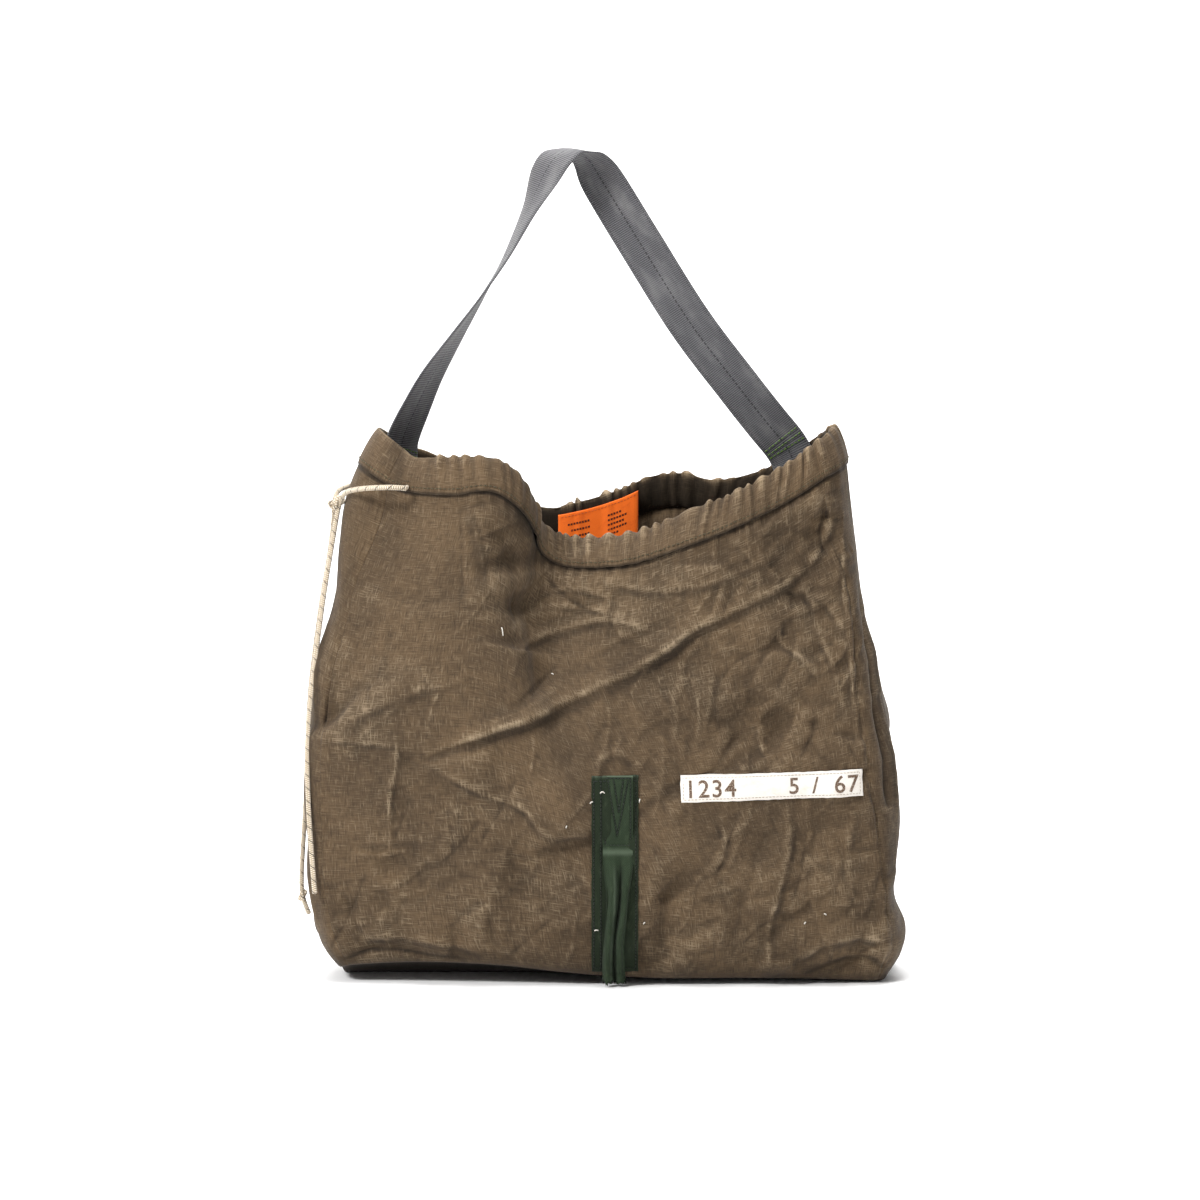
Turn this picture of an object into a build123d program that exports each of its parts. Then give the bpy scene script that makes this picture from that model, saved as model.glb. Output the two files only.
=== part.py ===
"""Canvas mail sack with a drawcord mouth, a webbing shoulder strap and a hanging tie tape.

Millimetres. The origin is the centre of the base, +Z is up, the front faces -Y and +X is the
right-hand side as seen from the front. The sack stands open, with its strap raised.
"""

from build123d import *

import os
from dataclasses import dataclass
from functools import cache
from math import cos, hypot, radians, sin, sqrt, tan

# ---------------------------------------------------------------- driving dimensions
canvas = 1.2  # thickness of the canvas
mouth_height = 470.0  # height of the mouth's two ends above the floor
mouth_corner_drop = 24.0  # how much lower the mouth is where the gussets meet the front and back

base_width = 456.0  # front panel, seam to seam, at the floor
belly_width = 472.0
shoulder_width = 410.0
neck_width = 356.0
mouth_width = 300.0

base_depth = 144.0  # gusset, seam to seam, at the floor
belly_depth = 150.0
shoulder_depth = 132.0
neck_depth = 104.0
mouth_depth = 84.0

base_bulge = 12.0  # how far a gusset stands out past its seams
belly_bulge = 18.0
shoulder_bulge = 22.0
neck_bulge = 36.0
mouth_bulge = 42.0

base_bow = 6.0  # how far the front and back stand out past their seams
belly_bow = 18.0
shoulder_bow = 16.0
neck_bow = 12.0
mouth_bow = 8.0

belly_height = 150.0
shoulder_height = 320.0
neck_height = 405.0
mouth_margin = 10.0  # how far the walls are drawn above the mouth before it is cut

# The mouth's edge between its corners: across, and down from mouth_height.
FRONT_MOUTH = [(-100, 25), (-62, 55), (-36, 88), (0, 94), (60, 76), (117, 52)]
BACK_MOUTH = [(-108, 46), (-54, 69), (-10, 65), (40, 46), (88, 45)]

casing_height = 30.0  # top edge to lower edge of the drawcord casing
casing_room = 6.4  # inside thickness of the casing's channel
rim_height = 6.0  # stretch of the casing that is sewn down on the panel
thread = 0.5  # thickness of a sewn row
thread_width = 1.2
hem_thread_rise = 2.0  # sewn row above the casing's lower edge
seam_width = 12.0  # seam allowance inside each vertical corner
seam_gap = 3.0  # between a corner's seam allowance and the casing above it

cord_diameter = 4.0
cord_drop = 17.0  # cord's centre below the top of the casing
cord_hole_height = 7.0  # opening in the casing where the cord comes out
cord_hole_length = 20.0
cord_hole_inset = 15.3  # opening's middle, in from the sack's left corner
cord_hole_drop = 43.0  # opening's middle, below mouth_height
cord_hole_bend = 5.5  # from the opening's middle to where the cord bends, in the channel and outside it
cord_hole_reach = 7.7  # from the channel's middle to where the cord starts outside
hole_stitch_width = 1.5
channel_steps = 24  # parts that the cord's run along the front or back is worked out in
channel_start = 3  # first of them past the hole
channel_turn = 70  # degrees either side of the right gusset's middle

strap_width = 38.0
strap_thickness = 1.8
left_end_angle = 45.0  # where the ends are sewn, round the gusset from its middle to the back
right_end_angle = 48.0
strap_end_rise = 2.0  # top of each sewn end above mouth_height
strap_end_length = 36.0
strap_end_room = 0.1  # between a sewn end and the casing's inner face
strap_thread_rows = 3
strap_thread_pitch = 5.0
strap_thread_length = 30.0

tape = 1.0  # thickness of the green tapes
base_tape_width = 39.0
base_tape_height = 166.0
base_tape_foot = 12.0  # lower end of the sewn tape above the floor
base_tape_x = 11.0
tape_thread_inset = 1.4
tie_tape_width = 24.0
tie_tape_x = 13.0
tie_tape_hinge_z = 116.0  # fold that the loose tape hangs from
tie_tape_foot = 2.5
tie_tape_room = 0.5  # between the loose tape and the sewn tape behind it
tie_tape_gap_above = 2.0  # clear of the fold's axis
tie_tape_gap_below = 1.5
tie_bar_height = 6.0
tie_bar_rise = 2.0

label = 0.5  # thickness of a label
label_thread_inset = 1.6
number_label_width = 153.0
number_label_height = 22.0
number_label_margin = 18.5  # from its right-hand end to where the sack is widest
number_label_z = 171.0
number_label_tilt = 1.5  # degrees
care_label_width = 70.0
care_label_height = 46.0
care_label_x = -3.0
care_label_drop = 9.0  # below the mouth's edge
care_label_bar = 3.0  # sewn row under the care label's top edge

knot_width = 17.0
tail_knot_width = 9.5
tail_knot_drop = 4.0  # below the bend before the cord's stub

# ---------------------------------------------------------------- worked-out values
casing_swell = (casing_room - canvas) / 2 + canvas  # casing's outer face, out from the panel's
channel_drop = casing_height - rim_height  # from the mouth's edge down to the sewn rim
channel_middle = canvas / 2  # inset of the channel's middle
reach = base_width + belly_width  # past every side of the sack
deep = 2 * mouth_height  # past the floor, measured down from the mouth
inner_casing_face = canvas + casing_swell
strap_end_top = mouth_height + strap_end_rise
strap_end_foot = strap_end_top - strap_end_length
number_label_x = belly_width / 2 - number_label_margin - number_label_width / 2


@dataclass
class Level:
    """One height of the sack: half the panel's width and depth, and how far each side stands out."""

    z: float
    half_width: float
    half_depth: float
    bulge: float
    bow: float


wall_top = mouth_height + mouth_margin
LEVELS = [
    Level(0, base_width / 2, base_depth / 2, base_bulge, base_bow),
    Level(belly_height, belly_width / 2, belly_depth / 2, belly_bulge, belly_bow),
    Level(shoulder_height, shoulder_width / 2, shoulder_depth / 2, shoulder_bulge, shoulder_bow),
    Level(neck_height, neck_width / 2, neck_depth / 2, neck_bulge, neck_bow),
    Level(wall_top, mouth_width / 2, mouth_depth / 2, mouth_bulge, mouth_bow),
]


# ---------------------------------------------------------------- shape of the walls
def level_at(z):
    """The sack's section at any height, between the two levels around it."""
    above = next(index for index in range(1, len(LEVELS)) if z <= LEVELS[index].z)
    low, high = LEVELS[above - 1], LEVELS[above]
    share = (z - low.z) / (high.z - low.z)

    def between(start, end):
        return start + share * (end - start)

    return Level(
        z,
        between(low.half_width, high.half_width),
        between(low.half_depth, high.half_depth),
        between(low.bulge, high.bulge),
        between(low.bow, high.bow),
    )


def circles(level):
    """Radius and centre of the level's front arc, then of its gusset arc."""
    front = (level.half_width**2 + level.bow**2) / (2 * level.bow)
    gusset = (level.half_depth**2 + level.bulge**2) / (2 * level.bulge)
    front_centre = level.half_depth + level.bow - front
    return front, front_centre, gusset, level.half_width + level.bulge - gusset


def corner(level, inset):
    """Half width and half depth at the corners, with every wall moved in by inset."""
    front, front_centre, gusset, gusset_centre = circles(level)
    apart = hypot(front_centre, gusset_centre)
    along = ((front - inset) ** 2 - (gusset - inset) ** 2 + apart**2) / (2 * apart)
    across = sqrt((front - inset) ** 2 - along**2)
    x = (along * gusset_centre - across * front_centre) / apart
    y = front_centre - (along * front_centre + across * gusset_centre) / apart
    return x, y


def wall_arc(side, level, inset):
    """Start, middle and end of one wall's arc, moved in by inset."""
    x, y = corner(level, inset)
    middle_x = level.half_width + level.bulge - inset
    middle_y = level.half_depth + level.bow - inset
    ends = {
        "front": [(-x, -y), (0, -middle_y), (x, -y)],
        "back": [(-x, y), (0, middle_y), (x, y)],
        "left": [(-x, -y), (-middle_x, 0), (-x, y)],
        "right": [(x, -y), (middle_x, 0), (x, y)],
    }
    return ends[side]


@cache
def strip(side, outer, inner):
    """One wall from floor to top, between two insets from the sack's outer face."""
    with BuildPart() as wall:
        for level in LEVELS:
            start, middle, end = wall_arc(side, level, outer)
            inner_start, inner_middle, inner_end = wall_arc(side, level, inner)
            with BuildSketch(Plane.XY.offset(level.z)):
                with BuildLine():
                    ThreePointArc(start, middle, end)
                    Line(end, inner_end)
                    ThreePointArc(inner_end, inner_middle, inner_start)
                    Line(inner_start, start)
                make_face()
        loft(ruled=True)
    return wall.part


def core(inset):
    """Everything inside the walls, moved in by inset."""
    with BuildPart() as body:
        for level in LEVELS:
            with BuildSketch(Plane.XY.offset(level.z)):
                with BuildLine():
                    for side in ("front", "right", "back", "left"):
                        ThreePointArc(*wall_arc(side, level, inset))
                make_face()
        loft(ruled=True)
    return body.part


def front_depth(x, z, inset):
    """How far the front or back wall stands from the middle of the sack."""
    front, front_centre, _, _ = circles(level_at(z))
    return front_centre + sqrt((front - inset) ** 2 - x**2)


# ---------------------------------------------------------------- shape of the mouth
corner_z = mouth_height - mouth_corner_drop
corner_x = level_at(corner_z).half_width
mouth_end_x = level_at(mouth_height).half_width + level_at(mouth_height).bulge
gusset_slope = mouth_corner_drop / (mouth_end_x - corner_x)
MOUTHS = {"front": FRONT_MOUTH, "back": BACK_MOUTH}


def gusset_mouth(x, drop):
    """Height of the mouth over a gusset."""
    return corner_z + gusset_slope * (abs(x) - corner_x) - drop


def mouth_points(side, drop):
    """The mouth's edge on the front or back, corner to corner, lowered by drop."""
    inner = [(x, mouth_height - down - drop) for x, down in MOUTHS[side]]
    return [(-corner_x, corner_z - drop), *inner, (corner_x, corner_z - drop)]


@cache
def band(side, upper, lower):
    """Everything between two drops below the mouth's edge."""
    with BuildPart() as slab:
        with BuildSketch(Plane.XZ):
            with BuildLine():
                for drop in (upper, lower):
                    far = gusset_mouth(reach, drop)
                    if side in MOUTHS:
                        points = mouth_points(side, drop)
                        Spline(*points, tangents=[(1, -gusset_slope), (1, gusset_slope)])
                    else:
                        points = [(0, gusset_mouth(0, drop))]
                    Line((-reach, far), points[0])
                    Line(points[-1], (reach, far))
                for end in (-reach, reach):
                    Line((end, gusset_mouth(reach, upper)), (end, gusset_mouth(reach, lower)))
            make_face()
        extrude(amount=reach, both=True)
    return slab.part


def wall_piece(side, outer, inner, upper, lower):
    """Part of a wall between two insets and two drops below the mouth."""
    with BuildPart() as piece:
        add(strip(side, outer, inner))
        add(band(side, upper, lower), mode=Mode.INTERSECT)
    return piece.part


def window(x, z, width, height, tilt=0.0):
    """An upright block through the sack, seen from the front as a rectangle."""
    with BuildPart() as block:
        with BuildSketch(Plane.XZ):
            with Locations((x, z)):
                Rectangle(width, height, rotation=tilt)
        extrude(amount=reach, both=True)
    return block.part


def border(x, z, width, height, inset, tilt=0.0):
    """A rectangular row of stitches, seen from the front, run right through the sack."""
    with BuildPart() as frame:
        with BuildSketch(Plane.XZ):
            with Locations((x, z)):
                Rectangle(width - 2 * inset, height - 2 * inset, rotation=tilt)
                hole = inset + thread_width
                Rectangle(width - 2 * hole, height - 2 * hole, rotation=tilt, mode=Mode.SUBTRACT)
        extrude(amount=reach, both=True)
    return frame.part


def save(name, built):
    """Labels a finished piece and writes it."""
    built.part.label = name
    export_step(built.part, f"parts/{name}.step")
    print(f"{name}: {built.part.volume:.1f} mm3")


os.makedirs("parts", exist_ok=True)
SIDES = ("front", "back", "left", "right")

# ---------------------------------------------------------------- canvas walls
WALL_NAMES = {
    "front": "front_panel",
    "back": "back_panel",
    "left": "left_gusset",
    "right": "right_gusset",
}
for side in SIDES:
    with BuildPart() as wall:
        add(wall_piece(side, 0, canvas, channel_drop, deep))
    save(WALL_NAMES[side], wall)

inside = core(canvas)
with BuildPart() as bottom_panel:
    add(inside)
    split(bisect_by=Plane.XY.offset(canvas), keep=Keep.BOTTOM)
save("bottom_panel", bottom_panel)


# ---------------------------------------------------------------- seam allowances inside the corners
def seam_post(x_side, y_side):
    """A post up one corner that reaches a seam's width along the gusset."""
    with BuildPart() as post:
        for level in LEVELS:
            x, y = corner(level, canvas)
            with BuildSketch(Plane.XY.offset(level.z)):
                with Locations((x_side * x, y_side * y)):
                    Rectangle(4 * seam_width, 2 * seam_width)
        loft(ruled=True)
    return post.part


for front_or_back, y_side in (("front", -1), ("back", 1)):
    for side, x_side in (("left", -1), ("right", 1)):
        with BuildPart() as seam:
            add(wall_piece(side, canvas, 2 * canvas, casing_height + seam_gap, deep))
            add(seam_post(x_side, y_side), mode=Mode.INTERSECT)
            split(bisect_by=Plane.XY.offset(seam_width), keep=Keep.TOP)
        save(f"seam_{front_or_back}_{side}", seam)

middle = core(2 * canvas)
with BuildPart() as bottom_seam:
    add(inside)
    add(middle, mode=Mode.SUBTRACT)
    split(bisect_by=Plane.XY.offset(seam_width), keep=Keep.BOTTOM)
    split(bisect_by=Plane.XY.offset(canvas), keep=Keep.TOP)
save("bottom_seam", bottom_seam)


# ---------------------------------------------------------------- drawcord casing round the mouth
cord_hole_z = mouth_height - cord_hole_drop
cord_hole_x = cord_hole_inset - level_at(cord_hole_z).half_width


def opening(width, height):
    """A slot right through the sack where the cord comes out."""
    with BuildPart() as block:
        with BuildSketch(Plane.XZ):
            with Locations((cord_hole_x, cord_hole_z)):
                SlotOverall(width, height)
        extrude(amount=reach, both=True)
    return block.part


def hole_slot(side, width, height):
    """The cord's opening in the front or back casing, through the casing's outer wall only."""
    with BuildPart() as slot:
        add(strip(side, -2 * casing_swell, -canvas / 2))
        add(opening(width, height), mode=Mode.INTERSECT)
    return slot.part


for side in SIDES:
    with BuildPart() as casing:
        add(wall_piece(side, -casing_swell, inner_casing_face, 0, channel_drop))
        add(wall_piece(side, -canvas, 2 * canvas, channel_drop, casing_height))
        add(
            wall_piece(
                side,
                -casing_swell + canvas,
                casing_swell,
                canvas,
                channel_drop - canvas,
            ),
            mode=Mode.SUBTRACT,
        )
        add(wall_piece(side, 0, canvas, channel_drop, casing_height), mode=Mode.SUBTRACT)
        if side in MOUTHS:
            add(hole_slot(side, cord_hole_length, cord_hole_height), mode=Mode.SUBTRACT)
    save(f"{side}_casing", casing)

    thread_foot = casing_height - hem_thread_rise
    with BuildPart() as hem_thread:
        add(wall_piece(side, -canvas - thread, -canvas, thread_foot - thread_width, thread_foot))
    save(f"hem_thread_{side}", hem_thread)

for side in MOUTHS:
    stitch = 2 * hole_stitch_width
    with BuildPart() as eyelet:
        add(hole_slot(side, cord_hole_length + stitch, cord_hole_height + stitch))
        add(hole_slot(side, cord_hole_length, cord_hole_height), mode=Mode.SUBTRACT)
        add(strip(side, -casing_swell - thread, -casing_swell), mode=Mode.INTERSECT)
    save(f"cord_eyelet_{side}", eyelet)


# ---------------------------------------------------------------- drawcord
def bend_radii(name, points):
    """The largest arcs that a cord's runs leave room for."""
    places = [Vector(*point) for point in points]
    radii = []
    for before, here, after in zip(places, places[1:], places[2:]):
        turn = radians((here - before).get_angle(after - here))
        shorter = min((here - before).length, (after - here).length)
        radii.append(0.45 * shorter / tan(turn / 2))
    print(f"{name}: radii {[round(radius) for radius in radii]}")
    return radii


def tube(name, points):
    """A cord laid along straight runs joined by arcs."""
    with BuildPart() as cord:
        with BuildLine() as route:
            FilletPolyline(*points, radius=bend_radii(name, points))
        with BuildSketch(Plane(route.line @ 0, z_dir=route.line % 0)):
            Circle(cord_diameter / 2)
        sweep()
    print(f"{name}: length {sum(edge.length for edge in route.edges()):.1f} mm")
    return cord.part


# Each tail after its hole: across, back, and down from mouth_height.
FRONT_DROPS = [
    (-169, -64, 44),
    (-183, -64, 46),
    (-198, -54, 49),
    (-210, -38, 52),
    (-218, -22, 55),
    (-223, -13, 63),
    (-226, -13, 76),
    (-230, -19, 102),
    (-236, -28, 140),
    (-241, -36, 180),
    (-246, -44, 222),
    (-248, -53, 265),
    (-247, -60, 312),
    (-244, -64, 356),
    (-241, -65, 392),
]
BACK_DROPS = [
    (-169, 64, 44),
    (-183, 64, 46),
    (-198, 54, 49),
    (-211, 38, 51),
    (-221, 20, 53),
    (-227, 4, 56),
    (-230, -6, 65),
    (-232, -9, 79),
    (-236, -15, 106),
    (-241, -22, 142),
    (-245, -28, 180),
    (-250, -34, 222),
    (-252, -39, 265),
    (-252, -44, 312),
    (-254, -42, 354),
    (-256, -39, 384),
    (-255, -38, 402),
    (-249, -40, 414),
]


def tail_route(y_side, drops):
    """From the front or back hole round the left gusset, and down."""
    start_x = cord_hole_x - cord_hole_bend
    start_y = y_side * (front_depth(start_x, cord_hole_z, channel_middle) + cord_hole_reach)
    return [(start_x, start_y, cord_hole_z), *[(x, y, mouth_height - down) for x, y, down in drops]]


FRONT_TAIL = tail_route(-1, FRONT_DROPS)
BACK_TAIL = tail_route(1, BACK_DROPS)


def gusset_route(turn):
    """The cord's middle inside the right casing, this many degrees round from its middle."""
    x = mouth_end_x
    for _ in range(4):
        z = gusset_mouth(x, cord_drop)
        _, _, gusset, centre = circles(level_at(z))
        x = centre + (gusset - channel_middle) * cos(radians(turn))
    return x, (gusset - channel_middle) * sin(radians(turn)), z


def channel_route():
    """The cord's middle inside the casing, from the front hole round by the right to the back."""
    bend_x = cord_hole_x + cord_hole_bend
    bend_y = front_depth(bend_x, cord_hole_z, channel_middle)
    route = [FRONT_TAIL[0], (bend_x, -bend_y, cord_hole_z)]
    steps = range(channel_start, channel_steps)
    for side, y_side, shares in (("front", -1, steps), ("back", 1, reversed(steps))):
        ends = [(1, 0, -gusset_slope), (1, 0, gusset_slope)]
        spline = Spline(*[(x, 0, z) for x, z in mouth_points(side, cord_drop)], tangents=ends)
        for share in shares:
            place = spline.position_at(share / channel_steps)
            depth = front_depth(place.X, place.Z, channel_middle)
            route.append((place.X, y_side * depth, place.Z))
        if side == "front":
            turns = range(-channel_turn, channel_turn + 1, channel_turn // 5)
            route.extend(gusset_route(turn) for turn in turns)
    route.append((bend_x, bend_y, cord_hole_z))
    route.append(BACK_TAIL[0])
    return route


with BuildPart() as drawcord_in_casing:
    add(tube("drawcord_in_casing", channel_route()))
save("drawcord_in_casing", drawcord_in_casing)

front_tail = tube("drawcord_front_tail", FRONT_TAIL)
with BuildPart() as drawcord_front_tail:
    add(front_tail)
save("drawcord_front_tail", drawcord_front_tail)

back_tail = tube("drawcord_back_tail", BACK_TAIL)
with BuildPart() as drawcord_back_tail:
    add(back_tail)
save("drawcord_back_tail", drawcord_back_tail)

knot_place = (Vector(*FRONT_TAIL[6]) + Vector(*BACK_TAIL[7])) / 2
with BuildPart() as drawcord_knot:
    with Locations(knot_place):
        Sphere(knot_width / 2)
    add(front_tail, mode=Mode.SUBTRACT)
    add(back_tail, mode=Mode.SUBTRACT)
save("drawcord_knot", drawcord_knot)

with BuildPart() as tail_end_knot:
    with Locations(Vector(*BACK_TAIL[-3]) - Vector(0, 0, tail_knot_drop)):
        Sphere(tail_knot_width / 2)
    add(back_tail, mode=Mode.SUBTRACT)
save("tail_end_knot", tail_end_knot)


# ---------------------------------------------------------------- shoulder strap
@dataclass
class Station:
    """One place along the strap: its middle, and how far its outer face is turned to the back."""

    x: float
    y: float
    rise: float  # above mouth_height
    turn: float

    @property
    def place(self):
        return Vector(self.x, self.y, mouth_height + self.rise)


STATIONS = [
    Station(-160, 30, 18, 45),
    Station(-146, 25, 43, 26),
    Station(-125, 16, 76, 10),
    Station(-102, 6, 111, 0),
    Station(-82, -1, 142, -9),
    Station(-61, -8, 184, -22),
    Station(-46, -12, 214, -42),
    Station(-36, -9, 229, -30),
    Station(-25, 0, 234, 0),
    Station(-13, 8, 226, 45),
    Station(0, 12, 207, 75),
    Station(32, 16, 156, 82),
    Station(75, 22, 88, 84),
    Station(112, 27, 40, 84),
    Station(130, 30, 18, 84),
]


def strap_plane(index):
    """The strap's section at a station, square to its middle line."""
    here = STATIONS[index]
    before = STATIONS[max(index - 1, 0)]
    after = STATIONS[min(index + 1, len(STATIONS) - 1)]
    onward = (after.place - before.place).normalized()
    if here in (before, after):
        onward = Vector(0, 0, 1 if here is before else -1)  # the ends are cut level
    backward = (Vector(0, 1, 0) - onward * onward.Y).normalized()
    outward = onward.cross(backward)
    face = outward * cos(radians(here.turn)) + backward * sin(radians(here.turn))
    return Plane(here.place, x_dir=onward.cross(face), z_dir=onward)


with BuildPart() as shoulder_strap:
    for index in range(len(STATIONS) - 1):
        for end in (index, index + 1):
            with BuildSketch(strap_plane(end)):
                Rectangle(strap_width, strap_thickness)
        loft(ruled=True)
save("shoulder_strap", shoulder_strap)


def strap_window(side, width, foot, top):
    """A block through the wall where a strap end is sewn, as wide as given."""
    x_side = 1 if side == "right" else -1
    _, _, _, centre = circles(level_at(mouth_height))
    angle = right_end_angle if side == "right" else 180 - left_end_angle
    with BuildPart() as block:
        with BuildSketch(Plane.XY.offset(foot)):
            with Locations(Location((x_side * centre, 0), angle)):
                Rectangle(reach, width, align=(Align.MIN, Align.CENTER))
        extrude(amount=top - foot)
    return block.part


strap_inner_face = inner_casing_face + strap_end_room + strap_thickness


def strap_row(side, foot):
    """One row of stitches across a sewn end."""
    with BuildPart() as row:
        add(strip(side, strap_inner_face, strap_inner_face + thread))
        add(strap_window(side, strap_thread_length, foot, foot + thread_width), mode=Mode.INTERSECT)
    return row.part


for side in ("left", "right"):
    with BuildPart() as strap_end:
        add(strip(side, inner_casing_face + strap_end_room, strap_inner_face))
        add(strap_window(side, strap_width, strap_end_foot, strap_end_top), mode=Mode.INTERSECT)
    save(f"strap_end_{side}", strap_end)

    with BuildPart() as strap_thread:
        for row in range(strap_thread_rows):
            add(strap_row(side, strap_end_foot + (row + 1) * strap_thread_pitch))
    save(f"strap_thread_{side}", strap_thread)

# ---------------------------------------------------------------- green tapes on the front
tape_top = base_tape_foot + base_tape_height
tape_middle = (base_tape_foot + tape_top) / 2
with BuildPart() as tape_base:
    add(strip("front", -tape, 0))
    add(window(base_tape_x, tape_middle, base_tape_width, base_tape_height), mode=Mode.INTERSECT)
save("tape_base", tape_base)


def tape_row(edge):
    """One upright row of stitches along an edge of the sewn tape."""
    x = base_tape_x + edge * (base_tape_width / 2 - tape_thread_inset)
    with BuildPart() as row:
        add(strip("front", -tape - thread, -tape))
        length = base_tape_height - 2 * tape_thread_inset
        add(window(x, tape_middle, thread_width, length), mode=Mode.INTERSECT)
    return row.part


with BuildPart() as tape_thread:
    add(tape_row(-1))
    add(tape_row(1))
save("tape_thread", tape_thread)

sewn_foot = tie_tape_hinge_z + tie_tape_gap_above
with BuildPart() as tie_tape_sewn_end:
    add(strip("front", -2 * tape, -tape))
    sewn_height = tape_top - sewn_foot
    sewn_middle = (tape_top + sewn_foot) / 2
    add(window(tie_tape_x, sewn_middle, tie_tape_width, sewn_height), mode=Mode.INTERSECT)
save("tie_tape_sewn_end", tie_tape_sewn_end)

with BuildPart() as tie_bar_tack:
    add(strip("front", -2 * tape - thread, -2 * tape))
    bar_z = sewn_foot + tie_bar_rise + tie_bar_height / 2
    tack = border(tie_tape_x, bar_z, tie_tape_width, tie_bar_height, inset=0)
    add(tack, mode=Mode.INTERSECT)
save("tie_bar_tack", tie_bar_tack)

tie_hinge_y = -front_depth(tie_tape_x, tie_tape_hinge_z, -tape - tie_tape_room - tape / 2)
with BuildPart() as tie_tape:
    with BuildSketch(Plane.XY.offset(tie_tape_foot)):
        with Locations((tie_tape_x, tie_hinge_y)):
            Rectangle(tie_tape_width, tape)
    extrude(amount=tie_tape_hinge_z - tie_tape_gap_below - tie_tape_foot)
save("tie_tape", tie_tape)
print(f"tie tape hinge at y {tie_hinge_y:.2f} z {tie_tape_hinge_z}")

# ---------------------------------------------------------------- labels
number_place = (number_label_x, number_label_z, number_label_width, number_label_height)
with BuildPart() as number_label:
    add(strip("front", -label, 0))
    add(window(*number_place, tilt=number_label_tilt), mode=Mode.INTERSECT)
save("number_label", number_label)

with BuildPart() as number_label_thread:
    add(strip("front", -label - thread, -label))
    row = border(*number_place, label_thread_inset, tilt=number_label_tilt)
    add(row, mode=Mode.INTERSECT)
save("number_label_thread", number_label_thread)

care_foot = care_label_drop + care_label_height
with BuildPart() as care_label:
    add(
        wall_piece(
            "back", inner_casing_face, inner_casing_face + label, care_label_drop, care_foot
        )
    )
    add(window(care_label_x, mouth_height, care_label_width, 2 * mouth_height), mode=Mode.INTERSECT)
save("care_label", care_label)

care_face = inner_casing_face + label
care_row = care_label_drop + care_label_bar
with BuildPart() as care_label_thread:
    add(wall_piece("back", care_face, care_face + thread, care_row, care_row + thread_width))
    care_row_length = care_label_width - 2 * label_thread_inset
    add(window(care_label_x, mouth_height, care_row_length, 2 * mouth_height), mode=Mode.INTERSECT)
save("care_label_thread", care_label_thread)
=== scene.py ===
"""Looks of the mail sack: waxed canvas, gathered drawcord mouth, webbing strap, cord, tapes and labels.

Shapes are worked out in millimetres, in the frame of the CAD model, and made in metres.
"""

from math import cos, pi, radians, sin

import bmesh
import bpy
import numpy as np
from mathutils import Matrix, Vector
from mathutils.bvhtree import BVHTree


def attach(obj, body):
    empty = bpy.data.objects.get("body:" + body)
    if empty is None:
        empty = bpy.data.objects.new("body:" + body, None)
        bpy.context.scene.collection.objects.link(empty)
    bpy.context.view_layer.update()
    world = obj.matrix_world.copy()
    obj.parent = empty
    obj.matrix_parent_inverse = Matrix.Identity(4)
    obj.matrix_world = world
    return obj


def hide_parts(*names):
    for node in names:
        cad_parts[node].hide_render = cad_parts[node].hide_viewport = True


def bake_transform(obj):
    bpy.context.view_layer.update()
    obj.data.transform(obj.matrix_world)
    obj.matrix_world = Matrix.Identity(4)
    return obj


MM = 0.001
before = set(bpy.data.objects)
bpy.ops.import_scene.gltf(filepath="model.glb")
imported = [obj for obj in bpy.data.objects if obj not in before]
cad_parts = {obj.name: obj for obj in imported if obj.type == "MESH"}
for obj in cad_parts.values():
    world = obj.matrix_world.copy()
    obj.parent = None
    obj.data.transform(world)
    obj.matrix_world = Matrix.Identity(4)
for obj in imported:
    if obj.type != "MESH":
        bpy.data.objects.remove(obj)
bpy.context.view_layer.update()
SACK, STRAP, TIE = "sack", "strap", "tie_tape"

# ---------------------------------------------------------------- sizes, in millimetres
CANVAS = 1.2
CORD_RADIUS = 2.0
CORD_STEP = 0.5  # between a cord's rings
TAPE = 0.9
LABEL = 0.5
STRAP_WIDTH = 38.0
STRAP_THICKNESS = 1.8
FOLD_Z = 116.0  # where the loose tie tape hangs from

# ---------------------------------------------------------------- camera, first of all
PICTURE_WIDTH = 1027.0  # of the plane through the sack's middle, in millimetres
LENS_DISTANCE = 3300.0
LOOK_DOWN = 4.0  # degrees
SENSOR = 36.0
AIM = Vector((-2.0, 0.0, 321.0))


def add_camera():
    data = bpy.data.cameras.new("photo_camera")
    data.sensor_width = SENSOR
    data.lens = SENSOR * LENS_DISTANCE / PICTURE_WIDTH
    camera = bpy.data.objects.new("photo_camera", data)
    bpy.context.scene.collection.objects.link(camera)
    down = radians(LOOK_DOWN)
    away = Vector((0, -cos(down), sin(down))) * LENS_DISTANCE
    camera.location = (AIM + away) * MM
    camera.rotation_euler = (pi / 2 - down, 0, 0)
    data.clip_end = 50
    bpy.context.scene.camera = camera


add_camera()


# ---------------------------------------------------------------- helpers: curves and noise
def hermite(table):
    """A smooth curve through rows of (place, value, ...)."""
    rows = np.array(table, float)
    places, values = rows[:, 0], rows[:, 1:]
    slopes = np.gradient(values, places, axis=0)

    def at(x):
        x = np.clip(np.asarray(x, float), places[0], places[-1])
        i = np.clip(np.searchsorted(places, x) - 1, 0, len(places) - 2)
        step = (places[i + 1] - places[i])[..., None]
        t = (x - places[i])[..., None] / step
        out = (2 * t**3 - 3 * t**2 + 1) * values[i] + (t**3 - 2 * t**2 + t) * step * slopes[i]
        out = out + (3 * t**2 - 2 * t**3) * values[i + 1] + (t**3 - t**2) * step * slopes[i + 1]
        return out[..., 0] if values.shape[1] == 1 else out

    return at


def along_points(points, places):
    """Places on the smooth curve through these points, numbered from 0."""
    return hermite([(i, *point) for i, point in enumerate(points)])(places)


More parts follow.
